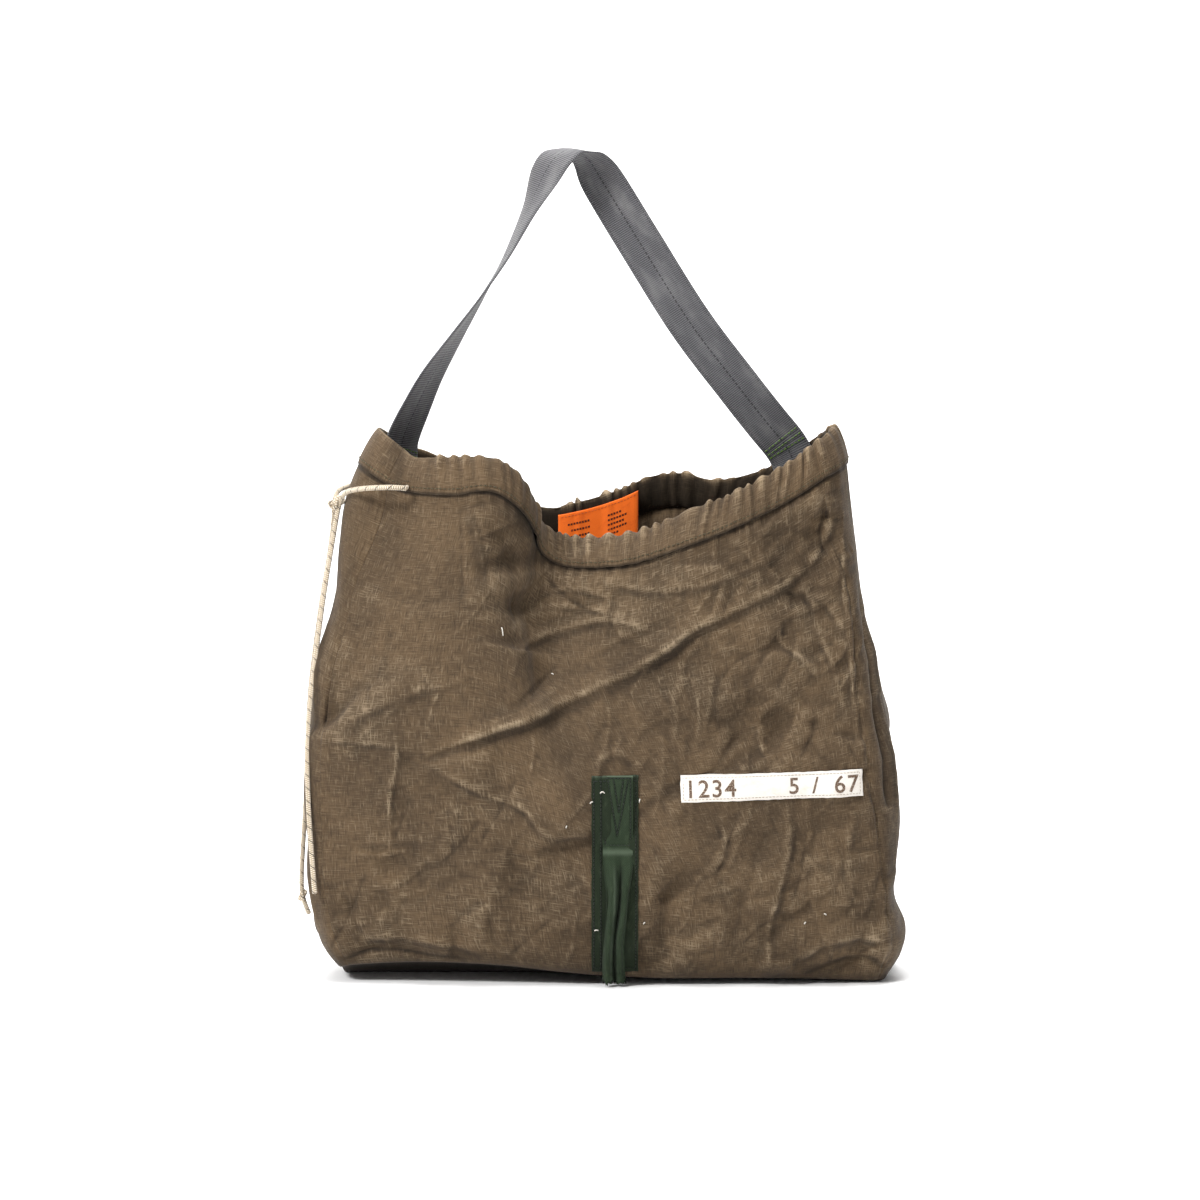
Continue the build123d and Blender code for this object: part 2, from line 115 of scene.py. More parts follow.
def ease(low, high, x):
    t = np.clip((x - low) / (high - low), 0, 1)
    return t * t * (3 - 2 * t)


def bell(x, middle, width):
    """1 at the middle, falling smoothly away on both sides."""
    return np.exp(-(((x - middle) / width) ** 2))


def noise(x, z, size, seed):
    """Smooth noise from -1 to 1 over a plane, with lumps about this size."""
    lattice = np.random.default_rng(seed).uniform(-1, 1, (97, 97))
    x, z = np.asarray(x) / size + 31.7, np.asarray(z) / size + 17.3
    i, j = np.floor(x).astype(int), np.floor(z).astype(int)
    u, v = x - i, z - j
    u, v = u * u * u * (u * (u * 6 - 15) + 10), v * v * v * (v * (v * 6 - 15) + 10)
    i, j = i % 96, j % 96
    low = lattice[i, j] * (1 - u) + lattice[i + 1, j] * u
    high = lattice[i, j + 1] * (1 - u) + lattice[i + 1, j + 1] * u
    return low * (1 - v) + high * v


def layers(x, z, size, seed, count=4, fade=0.5):
    """Noise in several finer and fainter layers."""
    total = 0
    for step in range(count):
        turn = 0.6 * step
        a, b = x * cos(turn) - z * sin(turn), x * sin(turn) + z * cos(turn)
        total = total + fade**step * noise(a, b, size / 2**step, seed + step)
    return total


# ---------------------------------------------------------------- helpers: meshes
def unit(vectors):
    return vectors / np.maximum(np.linalg.norm(vectors, axis=-1, keepdims=True), 1e-9)


def lengths_along(line):
    """How far along a line each of its places lies."""
    return np.concatenate([[0], np.cumsum(np.linalg.norm(np.diff(line, axis=0), axis=1))])


def steps_round(line):
    """How far along a line each of its places lies, from the steps on both sides of it."""
    return np.cumsum(np.linalg.norm(np.gradient(line, axis=0), axis=1))


def places_at(wanted, run, line):
    """The places that lie this far along a line."""
    return np.stack([np.interp(wanted, run, line[:, axis]) for axis in range(3)], -1)


def smooth_line(values, passes):
    """Smooths a line between its ends, which stay."""
    for _ in range(passes):
        values = values.copy()
        values[1:-1] = 0.25 * values[:-2] + 0.5 * values[1:-1] + 0.25 * values[2:]
    return values


def smooth_ring(values, passes):
    for _ in range(passes):
        values = 0.25 * np.roll(values, 1, 0) + 0.5 * values + 0.25 * np.roll(values, -1, 0)
    return values


def smooth_grid(values, passes):
    for _ in range(passes):
        values = smooth_line(smooth_line(values, 1).T, 1).T
    return values


def grid_faces(rows, columns, closed=False):
    faces = []
    for i in range(rows - 1):
        for j in range(columns if closed else columns - 1):
            k = (j + 1) % columns
            faces.append((i * columns + j, i * columns + k, (i + 1) * columns + k, (i + 1) * columns + j))
    return faces


def make_mesh(name, points, faces, material, marks=None, smooth=True):
    """A mesh from points in millimetres, with named numbers on its points for its material."""
    mesh = bpy.data.meshes.new(name)
    flat = np.asarray(points, float).reshape(-1, 3) * MM
    mesh.from_pydata(flat.tolist(), [], faces)
    for mark, values in (marks or {}).items():
        values = np.asarray(values, float)
        if values.size == len(flat):
            layer = mesh.attributes.new(mark, "FLOAT", "POINT")
            layer.data.foreach_set("value", values.ravel())
        else:
            layer = mesh.attributes.new(mark, "FLOAT_VECTOR", "POINT")
            layer.data.foreach_set("vector", values.reshape(-1, 3).ravel())
    mesh.polygons.foreach_set("use_smooth", [smooth] * len(mesh.polygons))
    mesh.materials.append(material)
    piece = bpy.data.objects.new(name, mesh)
    bpy.context.scene.collection.objects.link(piece)
    return piece


def thicken(piece, thickness):
    """Gives a sheet its thickness, half to each side."""
    solid = piece.modifiers.new("thickness", "SOLIDIFY")
    solid.thickness = thickness * MM
    solid.offset = 0.0
    solid.use_even_offset = False


def cloth_marks(along, up, wear=None, dark=None):
    """The weave's own coordinates, how worn each point is (on the front with a painted highlight below the mouth),
    and how much darker it is painted: painted shade, and dark stitch lines on the tapes.
    """
    zero = np.zeros(along.shape)
    marks = {"weave": np.stack([along, up, zero], -1)}
    marks["wear"] = zero if wear is None else wear
    marks["dark"] = zero if dark is None else dark
    return marks


def ride(piece, slot, *nodes, body=SACK):
    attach(piece, body)
    if nodes:
        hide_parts(*nodes)
    return piece


# ---------------------------------------------------------------- helpers: materials
def colour(red, green, blue):
    """A screen colour from 0 to 255 as the linear colour that a shader takes."""
    parts = [c / 255 for c in (red, green, blue)]
    return tuple(c / 12.92 if c <= 0.04045 else ((c + 0.055) / 1.055) ** 2.4 for c in parts) + (1.0,)


class Shader:
    """Short ways to add and join the nodes of one material."""

    def __init__(self, name, roughness=0.85, sheen=0.0, specular=0.3):
        self.material = bpy.data.materials.new(name)
        self.material.use_nodes = True
        self.tree = self.material.node_tree
        self.bsdf = self.tree.nodes["Principled BSDF"]
        self.bsdf.inputs["Roughness"].default_value = roughness
        self.bsdf.inputs["Sheen Weight"].default_value = sheen
        self.bsdf.inputs["Sheen Roughness"].default_value = 0.5
        self.bsdf.inputs["Specular IOR Level"].default_value = specular

    def put(self, socket, value):
        if isinstance(value, bpy.types.NodeSocket):
            self.tree.links.new(value, socket)
        else:
            socket.default_value = value

    def mark(self, name, output="Fac"):
        node = self.tree.nodes.new("ShaderNodeAttribute")
        node.attribute_name = name
        return node.outputs[output]

    def math(self, operation, a, b=0.0, clamp=False):
        node = self.tree.nodes.new("ShaderNodeMath")
        node.operation = operation
        node.use_clamp = clamp
        self.put(node.inputs[0], a)
        self.put(node.inputs[1], b)
        return node.outputs[0]

    def times(self, a, b, clamp=False):
        return self.math("MULTIPLY", a, b, clamp)

    def plus(self, a, b):
        return self.math("ADD", a, b)

    def mix(self, share, a, b):
        node = self.tree.nodes.new("ShaderNodeMix")
        node.data_type = "RGBA"
        self.put(node.inputs["Factor"], share)
        self.put(node.inputs[6], a)
        self.put(node.inputs[7], b)
        return node.outputs[2]

    def ramp(self, value, low, high):
        node = self.tree.nodes.new("ShaderNodeMapRange")
        node.interpolation_type = "SMOOTHSTEP"
        self.put(node.inputs["Value"], value)
        node.inputs["From Min"].default_value = low
        node.inputs["From Max"].default_value = high
        return node.outputs["Result"]

    def scaled(self, coordinates, scale):
        node = self.tree.nodes.new("ShaderNodeMapping")
        self.put(node.inputs["Vector"], coordinates)
        node.inputs["Scale"].default_value = scale
        return node.outputs["Vector"]

    def noise(self, coordinates, scale=1.0, detail=3.0, roughness=0.5):
        node = self.tree.nodes.new("ShaderNodeTexNoise")
        self.put(node.inputs["Vector"], coordinates)
        node.inputs["Scale"].default_value = scale
        node.inputs["Detail"].default_value = detail
        node.inputs["Roughness"].default_value = roughness
        return node.outputs["Fac"]

    def split(self, vector):
        node = self.tree.nodes.new("ShaderNodeSeparateXYZ")
        self.put(node.inputs[0], vector)
        return node.outputs[0], node.outputs[1], node.outputs[2]

    def waves(self, value, pitch):
        """Goes smoothly from 0 to 1 and back over each pitch."""
        turned = self.math("SINE", self.times(value, 2 * pi / pitch))
        return self.math("MULTIPLY_ADD", turned, 0.5)

    def dashes(self, value, pitch, share):
        """1 over this share of each pitch, and 0 over the rest."""
        return self.math("LESS_THAN", self.math("FRACT", self.math("DIVIDE", value, pitch)), share)

    def tint(self, tone, place, strength, shade, clamp=False):
        """Mixes a screen colour into a tone, where and as strongly as told."""
        return self.mix(self.times(place, strength, clamp), tone, colour(*shade))

    def bump(self, height, strength, distance, below=None):
        node = self.tree.nodes.new("ShaderNodeBump")
        self.put(node.inputs["Height"], height)
        node.inputs["Strength"].default_value = strength
        node.inputs["Distance"].default_value = distance * MM
        if below is not None:
            self.put(node.inputs["Normal"], below)
        return node.outputs["Normal"]

    def weave(self, pitch):
        """Height of a plain weave whose threads are half a pitch wide."""
        across, up, _ = self.split(self.mark("weave", "Vector"))
        warp, weft = self.waves(across, pitch), self.waves(up, pitch)
        both = self.times(warp, weft)
        other = self.times(self.math("SUBTRACT", 1.0, warp), self.math("SUBTRACT", 1.0, weft))
        return self.plus(both, other)

    def finish(self, base, normal=None):
        self.put(self.bsdf.inputs["Base Color"], base)
        if normal is not None:
            self.put(self.bsdf.inputs["Normal"], normal)
        return self.material


def canvas_material(name, body, warm, pale, deep):
    """Waxed canvas: slubby plain weave, pale where it is rubbed and under a painted highlight, and darker under
    painted shade.
    """
    s = Shader(name, roughness=0.82, sheen=0.05, specular=0.22)
    cloth = s.mark("weave", "Vector")
    warp = s.noise(s.scaled(cloth, (1.15, 0.1, 1)), 1.0, 2, 0.6)
    weft = s.noise(s.scaled(cloth, (0.1, 1.15, 1)), 1.0, 2, 0.6)
    slub = s.plus(warp, weft)
    thread, gap = s.math("MAXIMUM", warp, weft), s.math("MINIMUM", warp, weft)
    patches = s.noise(s.scaled(cloth, (0.012, 0.008, 1)), 1.0, 5, 0.65)
    streaks = s.noise(s.scaled(cloth, (0.09, 0.012, 1)), 1.0, 5, 0.7)
    tone = s.mix(s.ramp(patches, 0.36, 0.66), colour(*body), colour(*warm))
    tone = s.tint(tone, s.ramp(streaks, 0.52, 0.78), 0.45, deep)
    tone = s.tint(tone, s.ramp(thread, 0.52, 0.76), 0.22, pale)
    tone = s.tint(tone, s.ramp(gap, 0.48, 0.28), 0.5, deep)
    # The wear mark is rubbed wear, and on the front also a painted highlight below the mouth.
    rub_and_highlight = s.plus(s.mark("wear"), s.times(s.ramp(streaks, 0.46, 0.3), 0.16))
    caught = s.ramp(s.plus(thread, s.times(rub_and_highlight, 0.14)), 0.52, 0.74)
    scuffed_and_highlit = s.times(s.plus(caught, 0.16), rub_and_highlight, True)
    tone = s.tint(tone, scuffed_and_highlit, 0.62, pale)
    # Painted shade: the dark mark darkens the cloth in hollows, under ridges and folds, under the hem, on the gussets
    # and on the bottom.
    tone = s.tint(tone, s.mark("dark"), 0.85, deep, True)
    coarse = s.bump(slub, 0.5, 0.4)
    return s.finish(tone, s.bump(s.weave(1.5), 0.45, 0.3, coarse))


CANVAS_BROWN = canvas_material("waxed_canvas", (74, 59, 42), (92, 74, 53), (166, 147, 120), (28, 21, 14))
CASING_BROWN = canvas_material("casing_canvas", (78, 62, 44), (98, 79, 57), (168, 148, 120), (26, 20, 13))


def thread_material(name, tint, dim):
    """Twisted sewing thread."""
    s = Shader(name, roughness=0.6, sheen=0.1)
    cloth = s.mark("weave", "Vector")
    across, up, _ = s.split(cloth)
    twist = s.waves(s.plus(across, s.times(up, 1.5)), 0.9)
    tone = s.mix(twist, colour(*dim), colour(*tint))
    tone = s.tint(tone, s.noise(cloth, 0.2), 0.5, dim)
    return s.finish(tone, s.bump(twist, 0.6, 0.15))


OLIVE_THREAD = thread_material("olive_thread", (104, 92, 54), (34, 29, 16))
GREEN_THREAD = thread_material("green_thread", (128, 170, 58), (58, 86, 26))
DARK_THREAD = thread_material("dark_thread", (34, 44, 34), (14, 18, 14))
LABEL_THREAD = thread_material("label_thread", (214, 203, 188), (140, 124, 106))
ORANGE_THREAD = thread_material("orange_thread", (232, 120, 60), (150, 60, 24))


def cord_material():
    """Cream braid with a thin dark tracer that shows as a short slanting tick on each turn."""
    s = Shader("cream_cord", roughness=0.75, sheen=0.2)
    around, along, _ = s.split(s.mark("braid", "Vector"))
    slant = s.times(around, 3.6)
    strands = s.times(s.waves(s.plus(along, slant), 1.8), s.waves(s.math("SUBTRACT", along, slant), 1.8))
    tone = s.mix(s.ramp(strands, 0.0, 0.55), colour(164, 146, 120), colour(230, 221, 205))
    dirt = s.noise(s.scaled(s.mark("braid", "Vector"), (0.2, 0.03, 1)), 1.0, 3)
    tone = s.tint(tone, s.ramp(dirt, 0.45, 0.75), 0.4, (170, 152, 126))
    turn = s.math("FRACT", s.math("DIVIDE", s.plus(along, s.times(around, 11.0)), 11.0))
    tick = s.times(s.math("LESS_THAN", turn, 0.085), 0.9)
    tone = s.mix(tick, tone, colour(34, 30, 28))
    return s.finish(tone, s.bump(strands, 0.7, 0.35))


def tuft_material():
    """Loose white thread."""
    s = Shader("white_thread_tuft", roughness=0.7, sheen=0.1)
    around, along, _ = s.split(s.mark("braid", "Vector"))
    twist = s.waves(s.plus(along, around), 0.8)
    return s.finish(s.mix(twist, colour(206, 198, 184), colour(244, 240, 232)), s.bump(twist, 0.5, 0.1))


def webbing_material():
    """Grey ribbed webbing with a dark broken line of stitches down its middle and its edges."""
    s = Shader("grey_webbing", roughness=0.7, sheen=0.15, specular=0.35)
    cloth = s.mark("weave", "Vector")
    across, along, _ = s.split(cloth)
    ribs = s.waves(along, 1.7)
    cells = s.waves(s.plus(across, s.times(s.math("GREATER_THAN", ribs, 0.5), 0.9)), 1.8)
    height = s.times(ribs, s.math("MULTIPLY_ADD", cells, 0.5))
    tone = s.mix(s.ramp(height, 0.05, 0.7), colour(44, 43, 46), colour(106, 105, 108))
    worn = s.noise(s.scaled(cloth, (0.06, 0.02, 1)), 1.0, 4, 0.6)
    tone = s.tint(tone, s.ramp(worn, 0.4, 0.75), 0.35, (140, 139, 139))
    off = s.math("ABSOLUTE", across)
    middle = s.times(s.math("LESS_THAN", off, 0.55), s.dashes(along, 4.4, 0.62))
    side = s.math("COMPARE", off, 16.6)
    side.node.inputs[2].default_value = 0.4
    side = s.times(side, s.dashes(along, 3.4, 0.5))
    tone = s.tint(tone, s.math("MAXIMUM", middle, s.times(side, 0.7)), 0.85, (24, 24, 27))
    return s.finish(tone, s.bump(height, 0.8, 0.4))


def tape_material(name, tint, dim):
    """Herringbone tape: slanting ribs that turn back every few millimetres."""
    s = Shader(name, roughness=0.85, sheen=0.03, specular=0.2)
    cloth = s.mark("weave", "Vector")
    across, along, _ = s.split(cloth)
    zigzag = s.math("PINGPONG", across, 3.1)
    ribs = s.waves(s.plus(along, s.times(zigzag, 0.9)), 1.3)
    tone = s.mix(ribs, colour(*dim), colour(*tint))
    worn = s.noise(s.scaled(cloth, (0.2, 0.06, 1)), 1.0, 4, 0.65)
    tone = s.tint(tone, s.ramp(worn, 0.5, 0.8), 0.22, (92, 106, 80))
    tone = s.tint(tone, s.mark("wear"), 0.5, (112, 126, 106), True)
    # The dark mark: painted shade in the tie tape's groove and along its edge, and dark stitch lines.
    tone = s.tint(tone, s.mark("dark"), 0.9, (9, 13, 8), True)
    return s.finish(tone, s.bump(ribs, 0.6, 0.3))


def label_material(name, tint, dim, stain):
    """Fine plain-woven label, a little soiled."""
    s = Shader(name, roughness=0.7, sheen=0.05)
    cloth = s.mark("weave", "Vector")
    fine = s.weave(0.8)
    tone = s.mix(fine, colour(*dim), colour(*tint))
    soiled = s.noise(s.scaled(cloth, (0.05, 0.09, 1)), 1.0, 5, 0.65)
    tone = s.tint(tone, s.ramp(soiled, 0.48, 0.8), 0.5, stain)
    tone = s.tint(tone, s.mark("dark"), 0.8, stain, True)
    return s.finish(tone, s.bump(fine, 0.4, 0.12))


def ink_material(name, tint, gap):
    """Stamped ink that has not taken everywhere."""
    s = Shader(name, roughness=0.8)
    worn = s.noise(s.mark("weave", "Vector"), 0.9, 3, 0.7)
    return s.finish(s.mix(s.ramp(worn, 0.5, 0.72), colour(*tint), colour(*gap)))


CORD_CREAM = cord_material()
TUFT_WHITE = tuft_material()
WEBBING_GREY = webbing_material()
TAPE_GREEN = tape_material("green_tape", (48, 62, 42), (24, 34, 22))
TAPE_DARK = tape_material("dark_green_tape", (37, 48, 30), (17, 24, 14))
LABEL_WHITE = label_material("white_label", (242, 238, 232), (214, 206, 196), (196, 178, 156))
LABEL_ORANGE = label_material("orange_label", (255, 124, 30), (240, 98, 16), (196, 66, 10))
INK_BROWN = ink_material("brown_ink", (92, 72, 58), (206, 190, 172))
INK_BLACK = ink_material("black_ink", (58, 26, 14), (150, 62, 24))


# ---------------------------------------------------------------- cords
# The routes of the CAD tubes, in millimetres; both lie a few nearer to the canvas and to each other.
FRONT_TAIL = [
    (-165, -59, 419), (-172, -64, 420), (-184, -64, 420), (-198, -55, 419), (-210, -39, 417),
    (-218, -23, 414.5), (-223, -13, 407), (-226, -13, 394), (-230, -19, 368), (-236, -28, 330),
    (-241, -36, 290), (-246, -45, 248), (-249, -56, 205), (-248, -65, 158), (-245, -70, 114),
    (-242, -72, 78),
]
BACK_TAIL = [
    (-160, 58, 427), (-169, 64, 426), (-183, 64, 424), (-198, 54, 421), (-211, 38, 419),
    (-221, 20, 417), (-227, 4, 414), (-229, -5, 405), (-229, -7, 391), (-232, -12, 364),
    (-238, -20, 328), (-243, -28, 290), (-248, -36, 248), (-250, -42, 205), (-251, -46, 158),
    (-254, -42, 116), (-256, -39, 86), (-255, -38, 68), (-249, -40, 56),
]


BRAID_STRANDS = 6
BRAID_TWIST = 1.75  # radians for each millimetre
BRAID_RELIEF = 0.13  # of the radius


def nurbs_line(points, step):
    """Evenly spaced places along the NURBS curve that has these control points."""
    data = bpy.data.curves.new("line", "CURVE")
    data.dimensions = "3D"
    spline = data.splines.new("NURBS")
    spline.points.add(len(points) - 1)
    for place, point in zip(spline.points, points):
        place.co = (*point, 1)
    spline.order_u = 3
    spline.use_endpoint_u = True
    spline.resolution_u = 24
    holder = bpy.data.objects.new("line", data)
    mesh = bpy.data.meshes.new_from_object(holder)
    places = np.array([vertex.co for vertex in mesh.vertices])
    bpy.data.objects.remove(holder)
    bpy.data.curves.remove(data)
    bpy.data.meshes.remove(mesh)
    run = lengths_along(places)
    wanted = np.linspace(0, run[-1], max(int(run[-1] / step), 8) + 1)
    return places_at(wanted, run, places), wanted


def frames_along(line):
    """Two directions square to a line at each place, carried along without twisting."""
    onward = unit(np.gradient(line, axis=0))
    side = np.zeros_like(line)
    start = np.array([0.0, 0.0, 1.0]) if abs(onward[0, 2]) < 0.9 else np.array([1.0, 0.0, 0.0])
    side[0] = unit(start - onward[0] * (start @ onward[0]))
    for i in range(1, len(line)):
        side[i] = unit(side[i - 1] - onward[i] * (side[i - 1] @ onward[i]))
    return side, np.cross(onward, side)


def tube(name, line, run, radius, material, sides=16, ends=True):
    """A braided round cord along a line."""
    first, second = frames_along(line)
    angle = np.linspace(0, 2 * pi, sides, endpoint=False)
    strands, twist = BRAID_STRANDS * angle[None, :], BRAID_TWIST * run[:, None]
    braid = 0.5 + 0.5 * np.cos(strands + twist) * np.cos(strands - twist)
    size = radius * (1.0 + BRAID_RELIEF * braid)
    if ends:
        taper = np.minimum(1, np.sqrt(np.clip((run[-1] - run) / (0.8 * radius), 0, 1)) + 0.25)
        size = size * taper[:, None]
    ring = np.cos(angle)[None, :, None] * first[:, None, :] + np.sin(angle)[None, :, None] * second[:, None, :]
    points = line[:, None, :] + ring * size[..., None]
    around = np.broadcast_to(angle / (2 * pi), size.shape)
    along = np.broadcast_to(run[:, None], size.shape)
    faces = grid_faces(len(line), sides, closed=True)
    points = np.concatenate([points.reshape(-1, 3), line[:1], line[-1:]])
    count = len(line) * sides
    for j in range(sides):
        k = (j + 1) % sides
        faces.append((k, j, count))
        faces.append((count - sides + j, count - sides + k, count + 1))
    mark = np.stack([around, along, np.zeros_like(size)], -1).reshape(-1, 3)
    mark = np.concatenate([mark, mark[:1], mark[-1:]])
    return make_mesh(name, points, faces, material, {"braid": mark})


def knot_line(place, size, tilt):
    """An overhand knot pulled snug round a place."""
    t = np.linspace(0, 2 * pi, 220)
    x, y, z = np.sin(t) + 2 * np.sin(2 * t), np.cos(t) - 2 * np.cos(2 * t), -1.15 * np.sin(3 * t)
    shape = np.stack([x * cos(tilt) - z * sin(tilt), y, 1.25 * (x * sin(tilt) + z * cos(tilt))], 1) * size
    line = shape + np.array(place)
    run = lengths_along(line)
    wanted = np.linspace(0, run[-1], int(run[-1] / CORD_STEP))
    return places_at(wanted, run, line), wanted


KNOT_PLACE = (-226.5, -9.5, 405)
END_KNOT_PLACE = (-255, -38.5, 72)


def add_cords():
    tied, small = knot_line(KNOT_PLACE, 2.0, 0.5), knot_line(END_KNOT_PLACE, 1.15, 1.1)
    knot = tube("cord_knot", *tied, CORD_RADIUS * 0.95, CORD_CREAM, ends=False)
    end_knot = tube("cord_end_knot", *small, CORD_RADIUS * 0.85, CORD_CREAM, ends=False)
    ride(knot, "cream_cord", "drawcord_knot")
    ride(end_knot, "cream_cord", "tail_end_knot")
    for name, points, node, end, extra in (
        ("cord_front_tail", FRONT_TAIL, "drawcord_front_tail", "bare", []),
        ("cord_back_tail", BACK_TAIL, "drawcord_back_tail", "knot", [end_knot]),
    ):
        line, run = nurbs_line(points, CORD_STEP)
        cord = tube(name, line, run, CORD_RADIUS, CORD_CREAM)
        ride(cord, "cream_cord", node)


add_cords()

# ---------------------------------------------------------------- outline of the sack, seen from the front
# Height, then the left outline, left front edge, right front edge and right outline.
OUTLINE = hermite([
    (0, -218, -206, 232, 243),
    (30, -240, -222, 238, 254),
    (70, -248, -232, 238, 250),
    (130, -252, -236, 230, 255),
    (190, -253, -236, 220, 249),
    (257, -247, -229, 213, 236),
    (320, -228, -212, 208, 222),
    (370, -224, -206, 202, 216),
    (410, -218, -196, 193, 211),
    (440, -206, -176, 186, 206),
    (469, -190, -168, 180, 196),
])
# Share of the height, then how far the front edges and the middle stand forward, left and right.
DEPTHS = hermite([
    (0.0, 58, 60, 12),
    (0.15, 66, 68, 20),
    (0.35, 66, 68, 26),
    (0.6, 58, 60, 27),
    (0.8, 48, 50, 20),
    (1.0, 38, 42, 12),
])
# Stations along the mouth: top edge (x, z, depth), then lower edge of the casing (x, z, depth).
FRONT_STATIONS = [
    (-168, 451, 32, -182, 423, 37),
    (-157, 444, 42, -165, 417, 47),
    (-138, 445, 54, -142, 415, 60),
    (-118, 446, 62, -120, 415, 69),
    (-100, 446, 66, -102, 418, 74),
    (-86, 443, 66, -88, 416, 74),
    (-72, 433, 60, -73, 405, 68),
    (-60, 414, 46, -61, 388, 54),
    (-54, 394, 28, -54, 366, 36),
    (-38, 380, 21, -37, 354, 30),
    (-10, 376, 27, -10, 351, 38),
    (32, 382, 42, 30, 356, 54),
    (75, 401, 52, 72, 371, 64),
    (117, 418, 53, 114, 388, 62),
    (158, 441, 45, 156, 409, 52),
    (180, 457, 35, 187, 428, 41),
]
BACK_STATIONS = [
    (-168, 451, 30, -182, 423, 35),
    (-150, 446, 42, -154, 418, 48),
    (-112, 427, 46, -112, 398, 54),
    (-54, 400, 33, -54, 371, 44),
    (-19, 404, 36, -19, 375, 48),
    (15, 414, 44, 15, 385, 56),
    (42, 425, 50, 42, 396, 60),
    (70, 428, 52, 70, 399, 61),
    (97, 422, 51, 97, 393, 60),
    (130, 428, 49, 129, 398, 57),
    (158, 441, 42, 156, 410, 50),
    (180, 457, 33, 187, 428, 39),
]
MOUTH_ENDS = {-1: (-190, 468), 1: (196, 469)}
HEM_ENDS = {-1: (-206, 439), 1: (206, 439)}
GUSSET_COLUMNS = 46
FACE_COLUMNS = 380
ROWS = 280
SEAM_LEFT, SEAM_RIGHT = GUSSET_COLUMNS, GUSSET_COLUMNS + FACE_COLUMNS - 1


def mouth_line(stations, face_columns, gusset_columns, top):
    """The mouth's top edge or the casing's lower edge over half the sack, left to right."""
    picked = [row[:3] if top else row[3:] for row in stations]
    face = along_points(picked, np.linspace(0, len(stations) - 1, face_columns))
    ends = MOUTH_ENDS if top else HEM_ENDS
    turn = np.linspace(0, pi / 2, gusset_columns, endpoint=False)

    def quarter(seam, end):
        x = seam[0] + (end[0] - seam[0]) * np.cos(turn)
        z = seam[1] + (end[1] - seam[1]) * np.cos(turn)
        return np.stack([x, z, seam[2] * np.sin(turn)], 1)

    return np.concatenate([quarter(face[0], ends[-1]), face, quarter(face[-1], ends[1])[::-1]])


def bottom_rise(x):
    """The front's lower edge, which lifts off the floor towards its left end."""
    return hermite([
        (-230, 6), (-205, 9), (-165, 15), (-120, 18), (-70, 16), (-15, 9),
        (40, 5), (100, 5), (165, 3), (200, 1), (245, 0.5),
    ])(x)


def half_shell(stations, facing):
    """Half the sack from the floor to the casing's lower edge: facing is -1 in front, 1 behind."""
    hem = mouth_line(stations, FACE_COLUMNS, GUSSET_COLUMNS, top=False)
    total = len(hem)
    first, last = SEAM_LEFT, SEAM_RIGHT
    up = np.linspace(0, 1, ROWS)[:, None]
    foot = bottom_rise(np.linspace(-215, 240, total))[None, :] if facing < 0 else np.full((1, total), 1.0)
    z = foot + (hem[None, :, 1] - foot) * up
    left, edge_left, edge_right, right = np.moveaxis(OUTLINE(z), -1, 0)
    hem_left, hem_right = hem[first, 0], hem[last, 0]
    across = np.zeros(total)
    across[first : last + 1] = (hem[first : last + 1, 0] - hem_left) / (hem_right - hem_left)
    even = np.zeros(total)
    even[first : last + 1] = np.linspace(0, 1, FACE_COLUMNS)
    share = even[None, :] + (across - even)[None, :] * ease(0.15, 1.0, up)
    low_left, low_right, bow = np.moveaxis(DEPTHS(up[:, 0]), -1, 0)
    side = low_left[:, None] * (1 - share) + low_right[:, None] * share
    face_depth = side + bow[:, None] * (1 - np.abs(2 * share - 1) ** 2.4)
    mouthward = ease(0.42, 1.0, up) ** 1.3
    hem_depth = hem[None, :, 2].copy()
    turn = np.zeros(total)
    turn[:first] = np.linspace(pi / 2, 0, GUSSET_COLUMNS, endpoint=False)
    turn[last + 1 :] = turn[:first][::-1]
    hem_depth[:, :first] = hem[first, 2]
    hem_depth[:, last + 1 :] = hem[last, 2]
    depth = face_depth * (1 - mouthward) + hem_depth * mouthward
    tuck = 1 - 0.16 * (1 - np.sqrt(1 - (1 - np.clip(z - foot, 0, 12) / 12) ** 2))
    depth = depth * tuck * np.cos(turn)[None, :] ** 0.85
    x = edge_left + (edge_right - edge_left) * share
    exact = ease(0.75, 1.0, up)
    x[:, first : last + 1] += (hem[None, first : last + 1, 0] - x[:, first : last + 1]) * exact
    seam_left, seam_right = x[:, first : first + 1], x[:, last : last + 1]
    bulge = np.sin(turn)[None, :]
    x[:, :first] = seam_left + (left - seam_left)[:, :first] * bulge[:, :first]
    x[:, last + 1 :] = seam_right + (right - seam_right)[:, last + 1 :] * bulge[:, last + 1 :]
    return np.stack([x, facing * depth, z], -1)


